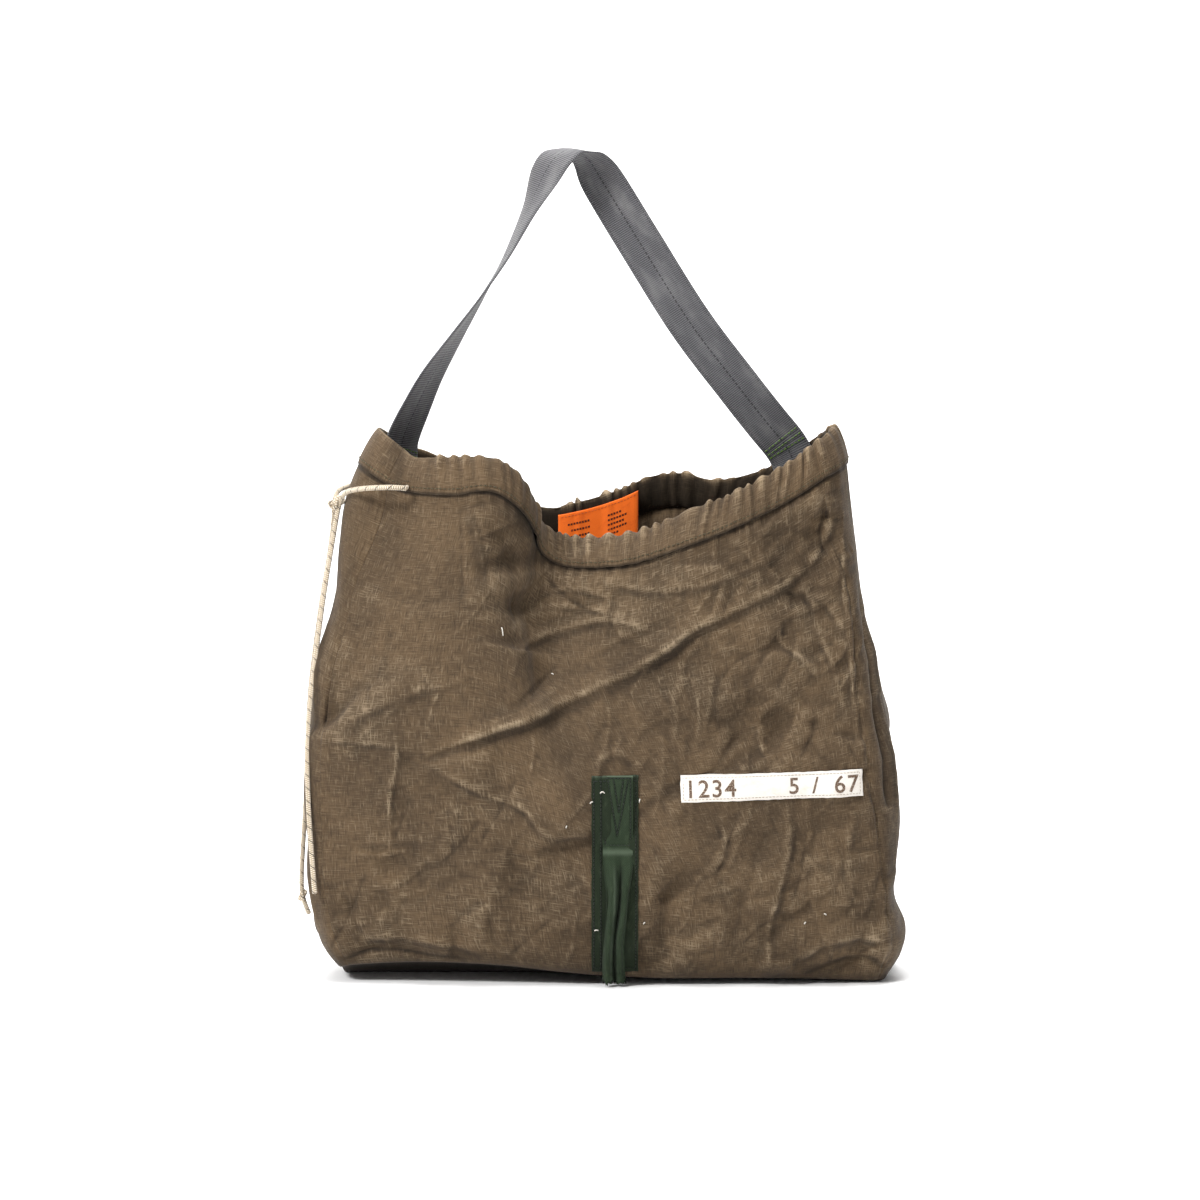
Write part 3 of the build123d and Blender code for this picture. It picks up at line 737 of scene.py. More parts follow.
# ---------------------------------------------------------------- creases
# Each crease: its line seen from the front (x, z), then how far it stands out, its width, how worn
# it is, and how much steeper its lower side is.
CREASES = [
    ([(-150, 196), (-118, 207), (-82, 219), (-40, 235), (17, 258), (52, 281), (82, 303), (144, 332), (172, 352)],
     8.0, 9, 1.0, 0.65),
    ([(172, 352), (186, 372), (192, 392), (186, 412)], 4.5, 7, 0.7, 0.4),
    ([(-86, 386), (-72, 352), (-66, 318), (-72, 284)], -13.0, 20, 0.0, 0.0),
    ([(-104, 404), (-94, 368), (-92, 330)], 5.0, 16, 0.25, 0.0),
    ([(-50, 346), (-30, 326), (-4, 312)], -3.0, 8, 0.0, 0.0),
    ([(-70, 286), (-38, 300), (0, 307), (40, 300)], 3.6, 9, 0.55, 0.3),
    ([(-120, 412), (-118, 372), (-119, 330), (-124, 300)], -1.2, 5.5, 0.0, 0.0),
    ([(-116, 396), (-114, 366), (-115, 340)], 1.0, 3.4, 0.5, 0.0),
    ([(-108, 398), (-102, 372), (-98, 352)], 1.2, 3.6, 0.45, 0.0),
    ([(-173, 214), (-172, 194), (-178, 160), (-179, 112)], 2.6, 5, 0.9, 0.3),
    ([(-212, 114), (-192, 112), (-160, 114)], 1.6, 4, 0.7, 0.3),
    ([(-236, 208), (-205, 206), (-172, 203)], 2.0, 6, 0.4, 0.3),
    ([(-158, 194), (-126, 178), (-96, 164), (-66, 152), (-44, 131), (-12, 128)], 2.6, 7, 0.55, 0.5),
    ([(-170, 196), (-120, 160), (-70, 100), (-40, 60)], -2.4, 16, 0.0, 0.0),
    ([(152, 308), (150, 292), (168, 276), (180, 262)], 3.4, 6, 0.8, 0.5),
    ([(180, 262), (196, 274), (206, 290)], 2.6, 5, 0.6, 0.4),
    ([(150, 342), (160, 330), (174, 322), (182, 306)], -3.5, 6, 0.0, 0.0),
    ([(168, 344), (176, 324), (184, 300), (196, 262), (204, 220)], 2.6, 7, 0.85, 0.2),
    ([(204, 400), (202, 360), (206, 300), (210, 250), (214, 200)], 2.4, 5, 0.7, 0.0),
    ([(131, 225), (135, 205), (142, 190)], 3.0, 6, 0.8, 0.3),
    ([(178, 232), (176, 212), (166, 192)], -3.0, 5, 0.0, 0.0),
    ([(156, 158), (154, 116), (146, 84), (140, 56), (138, 14)], 3.6, 8, 0.85, 0.5),
    ([(150, 150), (132, 118), (118, 76), (110, 30)], -3.0, 10, 0.0, 0.0),
    ([(96, 148), (104, 128), (98, 108), (78, 92)], 2.4, 7, 0.55, 0.3),
    ([(112, 150), (84, 96), (62, 40)], -2.2, 12, 0.0, 0.0),
    ([(186, 150), (176, 108), (172, 60)], -2.4, 9, 0.0, 0.0),
    ([(212, 150), (206, 112), (212, 70)], 2.2, 8, 0.4, 0.0),
    ([(164, 24), (186, 38), (214, 44), (236, 40)], 5.0, 9, 0.7, 0.5),
    ([(168, 8), (196, 20), (224, 24), (238, 12)], -4.5, 8, 0.0, 0.0),
    ([(-222, 20), (-200, 27), (-175, 29), (-140, 24), (-112, 19)], -7.5, 4.5, 0.0, 0.3),
    ([(-210, 40), (-180, 42), (-140, 38), (-100, 30)], 3.0, 9, 0.3, 0.4),
    ([(-216, 90), (-206, 50), (-212, 20)], -3.0, 10, 0.0, 0.0),
    ([(-60, 226), (-58, 200), (-62, 176)], 1.3, 4, 0.5, 0.0),
    ([(0, 262), (4, 230), (2, 196)], 1.2, 5, 0.4, 0.0),
    ([(58, 250), (62, 226), (58, 206)], 1.5, 5, 0.6, 0.0),
    ([(74, 262), (80, 232), (78, 204)], 1.6, 5, 0.6, 0.0),
    ([(98, 262), (94, 236), (98, 216)], -1.6, 6, 0.0, 0.0),
    ([(-226, 214), (-190, 236), (-150, 252), (-112, 262)], 2.4, 12, 0.15, 0.3),
    ([(232, 340), (238, 280), (244, 210), (246, 150)], -7.0, 7, 0.0, 0.0),
    ([(246, 330), (256, 250), (262, 160), (258, 80)], 3.0, 7, 0.4, 0.0),
    ([(270, 300), (276, 200), (280, 90)], -4.5, 8, 0.0, 0.0),
    ([(-244, 330), (-250, 230), (-252, 120), (-248, 40)], 4.0, 8, 0.2, 0.0),
    ([(-262, 300), (-268, 180), (-266, 70)], -4.5, 8, 0.0, 0.0),
    ([(20, 150), (60, 176), (110, 186)], 1.8, 12, 0.2, 0.0),
    ([(-8, 188), (10, 200), (34, 188)], 2.6, 9, 0.5, 0.0),
    ([(0, 340), (50, 334), (100, 344), (150, 366)], 3.2, 10, 0.4, 0.3),
    ([(-48, 330), (-24, 334), (8, 326)], 2.6, 6, 0.3, 0.3),
    ([(-46, 318), (-16, 318), (20, 308)], 2.4, 6, 0.3, 0.3),
    ([(188, 400), (184, 380), (190, 362)], -4.5, 5, 0.0, 0.0),
    ([(176, 330), (192, 318), (202, 300)], 3.6, 6, 0.5, 0.4),
    ([(110, 376), (128, 352), (134, 326)], 1.8, 7, 0.4, 0.0),
]
BACK_CREASES = [
    ([(-180, 150), (-110, 196), (-30, 220), (60, 210), (150, 260)], 7.0, 10, 0.9, 0.5),
    ([(-200, 330), (-140, 290), (-80, 300), (0, 260)], 4.5, 12, 0.6, 0.3),
    ([(60, 350), (90, 300), (150, 262), (200, 200)], 5.0, 9, 0.8, 0.4),
    ([(-60, 380), (-40, 330), (-60, 280)], -7.0, 16, 0.0, 0.0),
    ([(100, 160), (70, 110), (80, 40)], 4.0, 8, 0.7, 0.4),
    ([(-140, 140), (-120, 90), (-150, 30)], 3.6, 8, 0.7, 0.4),
    ([(-30, 160), (-10, 110), (-40, 60), (-20, 20)], -3.6, 12, 0.0, 0.0),
    ([(180, 130), (170, 80), (196, 30)], 3.4, 8, 0.6, 0.0),
    ([(-214, 200), (-180, 196), (-150, 204)], 2.2, 6, 0.6, 0.3),
]


def random_creases(seed, facing):
    """Short sharp creases: mostly slanting, and more of them to the right and low down."""
    rng = np.random.default_rng(seed)
    made = []
    while len(made) < RANDOM_CREASES:
        x, z = rng.uniform(-225, 225), rng.uniform(8, 400)
        crowd = 0.25 + 0.55 * (facing * x < -40) + 0.35 * (z < 150) - 0.2 * (z > 330)
        if rng.uniform() > crowd:
            continue
        lean = radians(rng.choice([52, 66, -58, 24, 84], p=[0.3, 0.22, 0.18, 0.18, 0.12])) + rng.normal(0, 0.16)
        length, bend = rng.uniform(18, 85), rng.normal(0, 0.12)
        line = []
        for t in (-0.5, 0.0, 0.5):
            turned = lean + bend * t * 2
            line.append((x + t * length * cos(turned), z + t * length * sin(turned)))
        height = rng.choice([-1, 1], p=[0.35, 0.65]) * rng.uniform(0.6, 2.1)
        width, wear, skew = rng.uniform(2.6, 5.5), rng.uniform(-0.3, 0.45), rng.uniform(-0.4, 0.6)
        made.append((line, height, width, max(0.0, wear) * (height > 0), skew))
    return made


def crease_field(x, z, creases):
    """How far the creases push the cloth outwards, and how worn and how shaded they leave it."""
    push, worn, shade = np.zeros(x.shape), np.zeros(x.shape), np.zeros(x.shape)
    wobble_x, wobble_z = x + 1.6 * noise(x, z, 34, 5), z + 1.6 * noise(x, z, 34, 6)
    for line, height, width, wear, skew in creases:
        share = along_points(line, np.linspace(0, len(line) - 1, 8 * len(line)))
        low, high = share.min(0) - 5 * width, share.max(0) + 5 * width
        near = (wobble_x > low[0]) & (wobble_x < high[0]) & (wobble_z > low[1]) & (wobble_z < high[1])
        if not near.any():
            continue
        px, pz = wobble_x[near], wobble_z[near]
        best, side, place = np.full(px.shape, 1e9), np.zeros(px.shape), np.zeros(px.shape)
        for i in range(len(share) - 1):
            start, run = share[i], share[i + 1] - share[i]
            t = np.clip(((px - start[0]) * run[0] + (pz - start[1]) * run[1]) / (run @ run), 0, 1)
            dx, dz = px - start[0] - t * run[0], pz - start[1] - t * run[1]
            gap = np.hypot(dx, dz)
            closer = gap < best
            best = np.where(closer, gap, best)
            side = np.where(closer, np.sign(dz * run[0] - dx * run[1]) * np.sign(run[0] + 1e-6), side)
            place = np.where(closer, (i + t) / (len(share) - 1), place)
        taper = np.sqrt(np.clip(np.minimum(place, 1 - place) * 5, 0, 1)) * (0.75 + 0.25 * np.sin(17 * place + height))
        wide = width * (1 + skew * side)
        push[near] += height * taper * np.exp(-1.2 * (np.sqrt((best / wide) ** 2 + 0.014) - 0.12))
        worn[near] = np.maximum(worn[near], wear * taper * bell(best, 0, 0.24 * width))
        # Painted shadow below each ridge, and painted shade down the middle of narrow hollows.
        if height > 0:
            under = 0.16 * height * (side < 0) * bell(best, 0.5 * width, 0.3 * width)
        else:
            under = -0.12 * height * (width < 9) * bell(best, 0, 0.25 * width)
        shade[near] = np.maximum(shade[near], np.minimum(0.5, under) * taper)
    return push, worn * np.clip(0.6 + 0.9 * noise(x, z, 9, 77), 0.1, 1.3), shade


def facets(x, z, count, soft, tilt, seed):
    """Flat tilted patches that meet in creases, as stiff canvas crumples."""
    rng = np.random.default_rng(seed)
    places = np.stack([rng.uniform(-260, 260, count), rng.uniform(-20, 440, count)], 1)
    slopes = rng.normal(0, tilt, (count, 2))
    lean = rng.uniform(-0.5, 0.5, count)
    total, weight = np.zeros(x.shape), np.zeros(x.shape)
    for (px, pz), (gx, gz), turn in zip(places, slopes, lean):
        dx, dz = x - px, z - pz
        along = dx * cos(turn + 0.5) + dz * sin(turn + 0.5)
        across = -dx * sin(turn + 0.5) + dz * cos(turn + 0.5)
        near = np.exp(-np.hypot(0.62 * along, 1.25 * across) / soft)
        total += near * (gx * dx + gz * dz)
        weight += near
    return total / weight


def crumple(x, z, seed):
    """Large soft dents, and facets that are smaller to the right and towards the floor."""
    wobble = 5 * noise(x, z, 35, seed + 9)
    broad = facets(x + wobble, z - wobble, 42, 6.0, 0.075, seed)
    fine = facets(x - wobble, z + wobble, 260, 2.2, 0.085, seed + 1)
    busy = 0.25 + 0.75 * np.clip(ease(20, 170, x) + 0.7 * ease(200, 40, z), 0, 1)
    soft = layers(x, z, 95, seed + 2, 2, 0.55) * 1.6
    quiet = 1 - 0.7 * ease(-40, -110, x) * ease(210, 290, z)
    return (soft + broad + fine * busy) * quiet + 0.22 * layers(x, z, 9, seed + 40, 2, 0.6)


def surface_normals(points, facing):
    along, up = np.gradient(points, axis=1), np.gradient(points, axis=0)
    normals = unit(np.cross(along, up))
    return normals * np.where(facing * normals[..., 1:2].mean() < 0, -1, 1)


GATHER_PITCH = 12.5
RANDOM_CREASES = 95  # on each half
DEEPER = 1.2  # every crease in the tables stands out this many times further
FRONT_SEED, BACK_SEED, GATHER_SEED = 11, 23, 71


def gather(run, seed):
    """Irregular sharp gathers along the mouth, from 0 to 1."""
    flat = 0 * run
    warped = run + 9.0 * noise(run, flat, 33, seed) + 3.6 * noise(run, flat, 13, seed + 3)
    wave = 0.5 + 0.5 * np.sin(2 * pi * warped / GATHER_PITCH)
    strength = 0.62 + 0.85 * noise(run, flat + 50, 15, seed + 1)
    return np.clip(strength, 0.08, 1.2) * wave**1.15 + 0.1 * (1 + noise(run, flat + 90, 5, seed + 2))


def creased_shell(stations, facing, creases, seed):
    """One half of the sack with its creases, and the marks that its material reads."""
    points = half_shell(stations, facing)
    z = points[..., 2]
    steps = np.hypot(np.diff(points[..., 0], axis=1), np.diff(points[..., 1], axis=1))
    spread = np.concatenate([np.zeros((ROWS, 1)), np.cumsum(steps, 1)], 1)
    x = points[..., 0].copy()
    first, last = SEAM_LEFT, SEAM_RIGHT
    x[:, :first] = x[:, first : first + 1] - (spread[:, first : first + 1] - spread[:, :first])
    x[:, last:] = x[:, last : last + 1] + (spread[:, last:] - spread[:, last : last + 1])
    normals = surface_normals(points, facing)
    deepened = [(line, DEEPER * height, *rest) for line, height, *rest in creases]
    push, worn, shade = crease_field(x, z, deepened + random_creases(seed, facing))
    small = crumple(x, z, seed)
    column = np.arange(x.shape[1])
    small = small * (1 - 0.65 * ease(first + 6, first - 10, column) - 0.65 * ease(last - 6, last + 10, column))
    up = np.linspace(0, 1, ROWS)[:, None]
    seam_fade = np.clip(np.minimum(column, column[::-1]) / 11, 0, 1)
    calm = ease(0.0, 0.05, up) * ease(1.0, 0.965, up) * seam_fade[None, :]
    run = steps_round(points[-1])
    loose = gather(run, seed)[None, :] * ease(0.84 + 0.06 * noise(x, 0 * x, 18, seed), 1.0, up) ** 2
    if facing < 0:
        loose = loose * ease(-128, -108, x)
    push = (push + small) * calm + 1.1 * loose
    points = points + normals * push[..., None]
    points[..., 2] = np.maximum(points[..., 2], 0.3)
    rough = push - smooth_grid(push, 14)
    wear = np.clip(0.72 * worn + np.clip(rough - 0.05, 0, 0.4) * 0.5, 0, 1)
    wear = wear + 0.25 * ease(0.3, 1.0, layers(x, z, 55, seed + 70, 5, 0.7))
    # A painted highlight: a broad paler patch below the front's mouth, where the cloth faces up to the light.
    painted_highlight_below_mouth = np.exp(-(((x - 15) / 75) ** 2) - ((z - 322) / 32) ** 2) * (facing < 0)
    wear = np.clip(wear + 0.3 * painted_highlight_below_mouth, 0, 1)
    # Painted shade on the gussets (side) and in the hollow right of the mouth's fold (slot), darker over the lowest
    # rows (foot), and a painted shadow under the casing's lower edge (hem).
    side = 0.3 * ease(last - 2, last + 14, column) + 0.2 * ease(first + 2, first - 14, column)
    slot = 0.8 * bell(x, -64, 20) * ease(0.945, 0.99, up) * (facing < 0)
    foot = 0.45 * ease(0.06, 0.0, up)
    hem = (0.75 + 0.35 * noise(x, z, 25, 88)) * ease(0.99, 0.994, up)
    # The surface's hollows, where it lies below its smoothed self, get painted shade too.
    dark = np.clip(-rough * 0.8, 0, 0.32) + shade + side + slot + foot + hem
    return points, wear, np.clip(dark, 0, 1), run


FRONT, FRONT_WEAR_AND_HIGHLIGHT, FRONT_DARK, FRONT_RUN = creased_shell(FRONT_STATIONS, -1, CREASES, FRONT_SEED)
BACK, BACK_WEAR, BACK_DARK, BACK_RUN = creased_shell(BACK_STATIONS, 1, BACK_CREASES, BACK_SEED)
HALF_COLUMNS = FRONT.shape[1]


def join_ends():
    """Brings the front and back halves to the same line down the middle of each gusset."""
    reach = 16  # columns that share the shift
    for column in (0, -1):
        shared = 0.5 * (FRONT[:, column] + BACK[:, column])
        for half in (FRONT, BACK):
            shift = shared - half[:, column]
            for step in range(reach):
                place = step if column == 0 else -1 - step
                half[:, place] += shift * (1 - step / reach) ** 2


join_ends()


def wall(name, points, wear, dark, run, *nodes):
    """A canvas wall from its grid of points, marked with its wear (on the front with a painted highlight), its
    painted shade, and how far along and up each point is.
    """
    height = lengths_along(points[:, points.shape[1] // 2])
    along = np.broadcast_to(run[None, :], points.shape[:2])
    up = np.broadcast_to(height[:, None], points.shape[:2])
    piece = make_mesh(name, points, grid_faces(*points.shape[:2]), CANVAS_BROWN, cloth_marks(along, up, wear, dark))
    thicken(piece, CANVAS)
    return ride(piece, "canvas", *nodes)


def gusset(name, back, front, *nodes):
    """A gusset from the back's edge to the front's, over the joined middle."""
    points, wear, dark = (
        np.concatenate([behind[:, back], before[:, front]], 1)
        for behind, before in ((BACK, FRONT), (BACK_WEAR, FRONT_WEAR_AND_HIGHLIGHT), (BACK_DARK, FRONT_DARK))
    )
    piece = wall(name, points, wear, dark, steps_round(points[ROWS // 2]), *nodes)
    side = name.split("_")[-1]


def add_walls():
    face = slice(SEAM_LEFT, SEAM_RIGHT + 1)
    for side, points, wear, dark, run in (
        ("front", FRONT, FRONT_WEAR_AND_HIGHLIGHT, FRONT_DARK, FRONT_RUN),
        ("back", BACK, BACK_WEAR, BACK_DARK, BACK_RUN),
    ):
        nodes = f"{side}_panel", f"seam_{side}_left", f"seam_{side}_right"
        piece = wall(f"canvas_{side}", points[:, face], wear[:, face], dark[:, face], run[face], *nodes)
    gusset("canvas_gusset_left", slice(SEAM_LEFT, 0, -1), slice(0, SEAM_LEFT + 1), "left_gusset")
    end = HALF_COLUMNS - 1
    gusset("canvas_gusset_right", slice(SEAM_RIGHT, end), slice(end, SEAM_RIGHT - 1, -1), "right_gusset")


def add_bottom():
    share = np.linspace(0, 1, 60)[:, None, None]
    points = FRONT[0][None] * (1 - share) + BACK[0][None] * share
    x, y = points[..., 0], points[..., 1]
    front_rise = FRONT[0][None, :, 2] * (1 - ease(0.04, 0.55, share[..., 0]))
    sag = share[..., 0] * (1 - share[..., 0]) * (1.2 + layers(x, y, 60, 3, 3))
    points[..., 2] = np.maximum(front_rise, 0.7) + sag
    # The bottom is painted fully dark: painted shade where it lies in its own shadow on the floor.
    bottom = make_mesh("canvas_bottom", points, grid_faces(*points.shape[:2]), CANVAS_BROWN,
                       cloth_marks(x, y, np.zeros(x.shape), np.full(x.shape, 1.0)))
    thicken(bottom, CANVAS)
    ride(bottom, "canvas", "bottom_panel", "bottom_seam")


add_walls()
add_bottom()

# ---------------------------------------------------------------- drawcord casing
# Round the folded hem from its outer lower edge over the top to its inner one: how far out from the
# casing's middle, and how far up as a share of its height.
HEM_FOLD = [
    (2.4, -0.05), (3.3, 0.02), (3.9, 0.1), (4.4, 0.25), (4.6, 0.45), (4.3, 0.65), (3.5, 0.82), (2.2, 0.94),
    (0.6, 1.0), (-1.2, 0.97), (-2.8, 0.85), (-3.8, 0.65), (-4.2, 0.45), (-4.0, 0.25), (-3.2, 0.1), (-1.6, 0.0),
]
CASING_FINE = 2  # casing columns for each column of the walls


def casing_ring():
    """The casing's lower and top edges all the way round, front first, left to right."""
    edges = []
    for top in (False, True):
        columns = FACE_COLUMNS * CASING_FINE, GUSSET_COLUMNS * CASING_FINE
        front = mouth_line(FRONT_STATIONS, *columns, top)
        back = mouth_line(BACK_STATIONS, *columns, top)
        front = np.stack([front[:, 0], -front[:, 2], front[:, 1]], 1)
        back = np.stack([back[:, 0], back[:, 2], back[:, 1]], 1)
        edges.append(np.concatenate([front[:-1], back[::-1][:-1]]))
    return edges


# At each place round the mouth: the casing's lower edge, its top edge, the ways along, up and out, and how
# far round it is. GATHERED is 0 where the casing is smooth, at the far left, and 1 where it is gathered.
RING_HEM, RING_TOP = casing_ring()
RING_ALONG = unit(np.roll(RING_HEM, -1, 0) - np.roll(RING_HEM, 1, 0) + 1e-9)
RING_UP = RING_TOP - RING_HEM
RING_OUT = -unit(smooth_ring(unit(np.cross(RING_UP, RING_ALONG)), 30))
RING_OUT = RING_OUT * np.where((RING_OUT * RING_HEM * [1, 1, 0]).sum(-1).mean() < 0, -1, 1)
RING_RUN = np.cumsum(np.linalg.norm(RING_HEM - np.roll(RING_HEM, 1, 0), axis=1))
GATHERED = np.where(RING_HEM[:, 1] < 0, ease(-162, -136, RING_HEM[:, 0]), ease(-150, -135, RING_HEM[:, 0]))


MEAN_GATHER = 0.4


def ring_gather(index, up):
    """How far the casing puffs out here: each gather leans a little and fades towards the hem."""
    run = RING_RUN[index] + 0 * up
    flat = 0 * run
    lean = 9.0 * noise(run, flat + 200, 38, 77) * up
    reach = ease(0.1 + 0.55 * noise(run, flat + 240, 17, 78), 1.0, up)
    return MEAN_GATHER + (gather(run + lean, GATHER_SEED) - MEAN_GATHER) * GATHERED[index] * (0.4 + 0.6 * reach)


def ring_point(index, out, up, lift=0.0):
    """A place on the casing: out from its middle, and up as a share of its height."""
    gathered = ring_gather(index, up)
    puff = np.sign(out) * (0.2 + 3.6 * (gathered - MEAN_GATHER))
    out = out * (0.6 + 0.4 * GATHERED[index]) + puff + lift
    scallop = 2.1 * (gathered - MEAN_GATHER) * ease(0.6, 1.0, up)
    place = RING_HEM[index] + RING_UP[index] * up[..., None] + RING_OUT[index] * out[..., None]
    place[..., 2] += scallop
    return place


def casing(side, indices):
    """One side's casing: a folded hem, puffed out by its gathers, with its row of stitches."""
    fold = along_points(HEM_FOLD, np.linspace(0, len(HEM_FOLD) - 1, 40))
    count = len(indices)
    points = np.stack([ring_point(indices, np.full(count, out), np.full(count, up)) for out, up in fold])
    run = RING_RUN[indices]
    run[indices < indices[0]] += RING_RUN[-1]
    across = np.broadcast_to(run[None, :], points.shape[:2])
    up = np.broadcast_to(steps_round(points[:, len(indices) // 2])[:, None], points.shape[:2])
    points[..., 1] -= 0.35 * layers(across, up, 14, 90, 3, 0.6)
    gathered = ring_gather(indices[None, :], fold[:, 1:2])
    wear = np.clip((gathered - 0.55) * 1.1, 0, 0.7) + 0.25 * ease(0.3, 0.8, layers(across, up, 26, 95, 3))
    wear = wear + 0.3 * bell(fold[:, 1:2], 1.0, 0.1)
    # Painted shade in the grooves between gathers and in a fold at the left front.
    painted_fold_shade = 0.45 * bell(points[..., 0], -172, 8) * (points[..., 1] < 0)
    dark = np.clip((0.34 - gathered) * 1.7, 0, 0.55) + painted_fold_shade
    # A painted shadow under the casing's lower edge, and painted shade over its inner side.
    painted_hem_shadow = 0.85 * bell(fold[:, 1:2], -0.03, 0.05) * (fold[:, :1] > 0)
    dark = dark + painted_hem_shadow + 0.95 * ease(0.5, -3.5, fold[:, :1])
    piece = make_mesh(f"canvas_casing_{side}", points, grid_faces(*points.shape[:2]), CASING_BROWN,
                      cloth_marks(across, up, np.clip(wear, 0, 1), np.clip(dark, 0, 1)))
    thicken(piece, CANVAS * 0.8)
    ride(piece, "casing_canvas", f"{side}_casing")
    places = ring_point(indices, np.full(count, 3.9), np.full(count, 0.1), 0.75)
    stitches = stitch_mesh(f"hem_stitches_{side}", places, RING_OUT[indices], 3.0, 1.0, OLIVE_THREAD)
    ride(stitches, "olive_thread", f"hem_thread_{side}")
    return piece


def stitch_mesh(name, places, outs, length, thick, material):
    """A row of separate stitches, each a small rounded thread along the row."""
    run = lengths_along(places)
    count = int(run[-1] / (length * 1.35))
    rng = np.random.default_rng(len(places))
    points, faces, marks = [], [], []
    shape = [(-0.5, 0.25), (-0.36, 0.8), (0.0, 1.0), (0.36, 0.8), (0.5, 0.25)]
    sides = 5
    for i in range(count):
        middle = (i + 0.5) * run[-1] / count
        lift = unit(places_at(middle, run, outs))
        lean = 0.16 * rng.uniform(-1, 1)
        ahead = unit(places_at(middle + 0.5, run, places) - places_at(middle - 0.5, run, places))
        beside = unit(np.cross(lift, ahead))
        base = len(points)
        size = thick * rng.uniform(0.85, 1.15)
        for s, r in shape:
            centre = places_at(middle + s * length, run, places)
            centre = centre + lift * (0.35 * thick * (r - 0.3)) + beside * lean * s * length
            for j in range(sides):
                turn = 2 * pi * j / sides
                points.append(centre + (beside * cos(turn) + lift * sin(turn)) * size * 0.5 * r)
                marks.append((middle + s * length, turn, 0))
        faces += [tuple(base + corner for corner in face) for face in grid_faces(len(shape), sides, closed=True)]
        faces.append(tuple(base + j for j in reversed(range(sides))))
        faces.append(tuple(base + sides * (len(shape) - 1) + j for j in range(sides)))
    return make_mesh(name, np.array(points), faces, material, {"weave": np.array(marks)})


FRONT_TOTAL = (FACE_COLUMNS + 2 * GUSSET_COLUMNS) * CASING_FINE - 1
EDGE = GUSSET_COLUMNS * CASING_FINE


def add_casing():
    face = FACE_COLUMNS * CASING_FINE
    right, back, left = EDGE + face, 3 * EDGE + face, 3 * EDGE + 2 * face
    total = len(RING_HEM)
    return {
        "front": casing("front", np.arange(EDGE, right)),
        "right": casing("right", np.arange(right - 1, back)),
        "back": casing("back", np.arange(back - 1, left - 1)),
        "left": casing("left", np.arange(left - 2, total + EDGE + 1) % total),
    }


CASINGS = add_casing()


# ---------------------------------------------------------------- finding places on the cloth
def tree_of(*pieces):
    points, faces = [], []
    for piece in pieces:
        base = len(points)
        points.extend(vertex.co.copy() for vertex in piece.data.vertices)
        faces.extend(tuple(base + i for i in face.vertices) for face in piece.data.polygons)
    return BVHTree.FromPolygons(points, faces)


FACE_TREE = tree_of(bpy.data.objects["canvas_front"], CASINGS["front"])
INSIDE_TREE = tree_of(CASINGS["back"])


def on_front(x, z, lift=0.0):
    """The place on the front's outside at (x, z), in millimetres."""
    hit, _, _, _ = FACE_TREE.ray_cast(Vector((x * MM, -1, z * MM)), Vector((0, 1, 0)))
    y = hit.y / MM if hit else -80.0
    return np.array([x, y - lift, z])


def front_patch(name, x, z, width, height, tilt, lift, material, thickness, counts, seed, fray, sewn_lines=()):
    """A flat piece sewn on the front, tilted in degrees, following the cloth under it."""
    columns, rows = counts
    across = np.linspace(-width / 2, width / 2, columns)
    up = np.linspace(-height / 2, height / 2, rows)
    grid_x, grid_z = np.meshgrid(across, up)
    edge_x = fray * noise(grid_x * 0, grid_z, 5, seed) * (np.abs(grid_x) > 0.49 * width)
    edge_z = fray * noise(grid_x, grid_z * 0, 5, seed + 1) * (np.abs(grid_z) > 0.49 * height)
    c, s = cos(radians(tilt)), sin(radians(tilt))
    px = x + (grid_x + edge_x) * c - (grid_z + edge_z) * s
    pz = z + (grid_x + edge_x) * s + (grid_z + edge_z) * c
    points = np.array([[on_front(a, b) for a, b in zip(*row)] for row in zip(px, pz)])
    front = points[..., 1]
    for _ in range(4):
        front[:, 1:-1] = np.minimum(np.minimum(front[:, :-2], front[:, 1:-1]), front[:, 2:])
        front[1:-1] = np.minimum(np.minimum(front[:-2], front[1:-1]), front[2:])
    points[..., 1] = smooth_grid(front, 24) - lift
    frayed = bell(grid_z, height / 2, 1.3) * (0.6 + 0.4 * noise(grid_x, grid_z, 2, seed + 2))
    shade = np.zeros(grid_x.shape)
    for offset in sewn_lines:
        shade = np.maximum(shade, 0.75 * bell(grid_x, offset, 0.7))
    piece = make_mesh(name, points, grid_faces(rows, columns), material, cloth_marks(grid_x, grid_z, frayed, shade))
    thicken(piece, thickness)
    return piece, points


def on_patch(points, u, v):
    """The place on a patch at this share of its width and height."""
    rows, columns, _ = points.shape
    u, v = np.clip(u, 0, 1) * (columns - 1), np.clip(v, 0, 1) * (rows - 1)
    i, j = min(int(v), rows - 2), min(int(u), columns - 2)
    low = points[i, j] + (points[i, j + 1] - points[i, j]) * (u - j)
    high = points[i + 1, j] + (points[i + 1, j + 1] - points[i + 1, j]) * (u - j)
    return low + (high - low) * (v - i)


def row_on(points, path):
    """Places on a patch along a path given in shares of its width and height."""
    return np.array([
        on_patch(points, u0 + (u1 - u0) * t, v0 + (v1 - v0) * t)
        for (u0, v0), (u1, v1) in zip(path, path[1:])
        for t in np.linspace(0, 1, 60)
    ])


def sewn_row(name, places, lift, length, thick, material, slot, *nodes, out=(0, -1, 0), body=SACK):
    outs = np.broadcast_to(np.array(out, float), places.shape)
    row = stitch_mesh(name, places + outs * lift, outs, length, thick, material)
    return ride(row, slot, *nodes, body=body)


# ---------------------------------------------------------------- number label
LABEL_TILT = 1.6
LABEL_PLACE = (142.0, 170.5)
LABEL_SIZE = (153.0, 22.0)


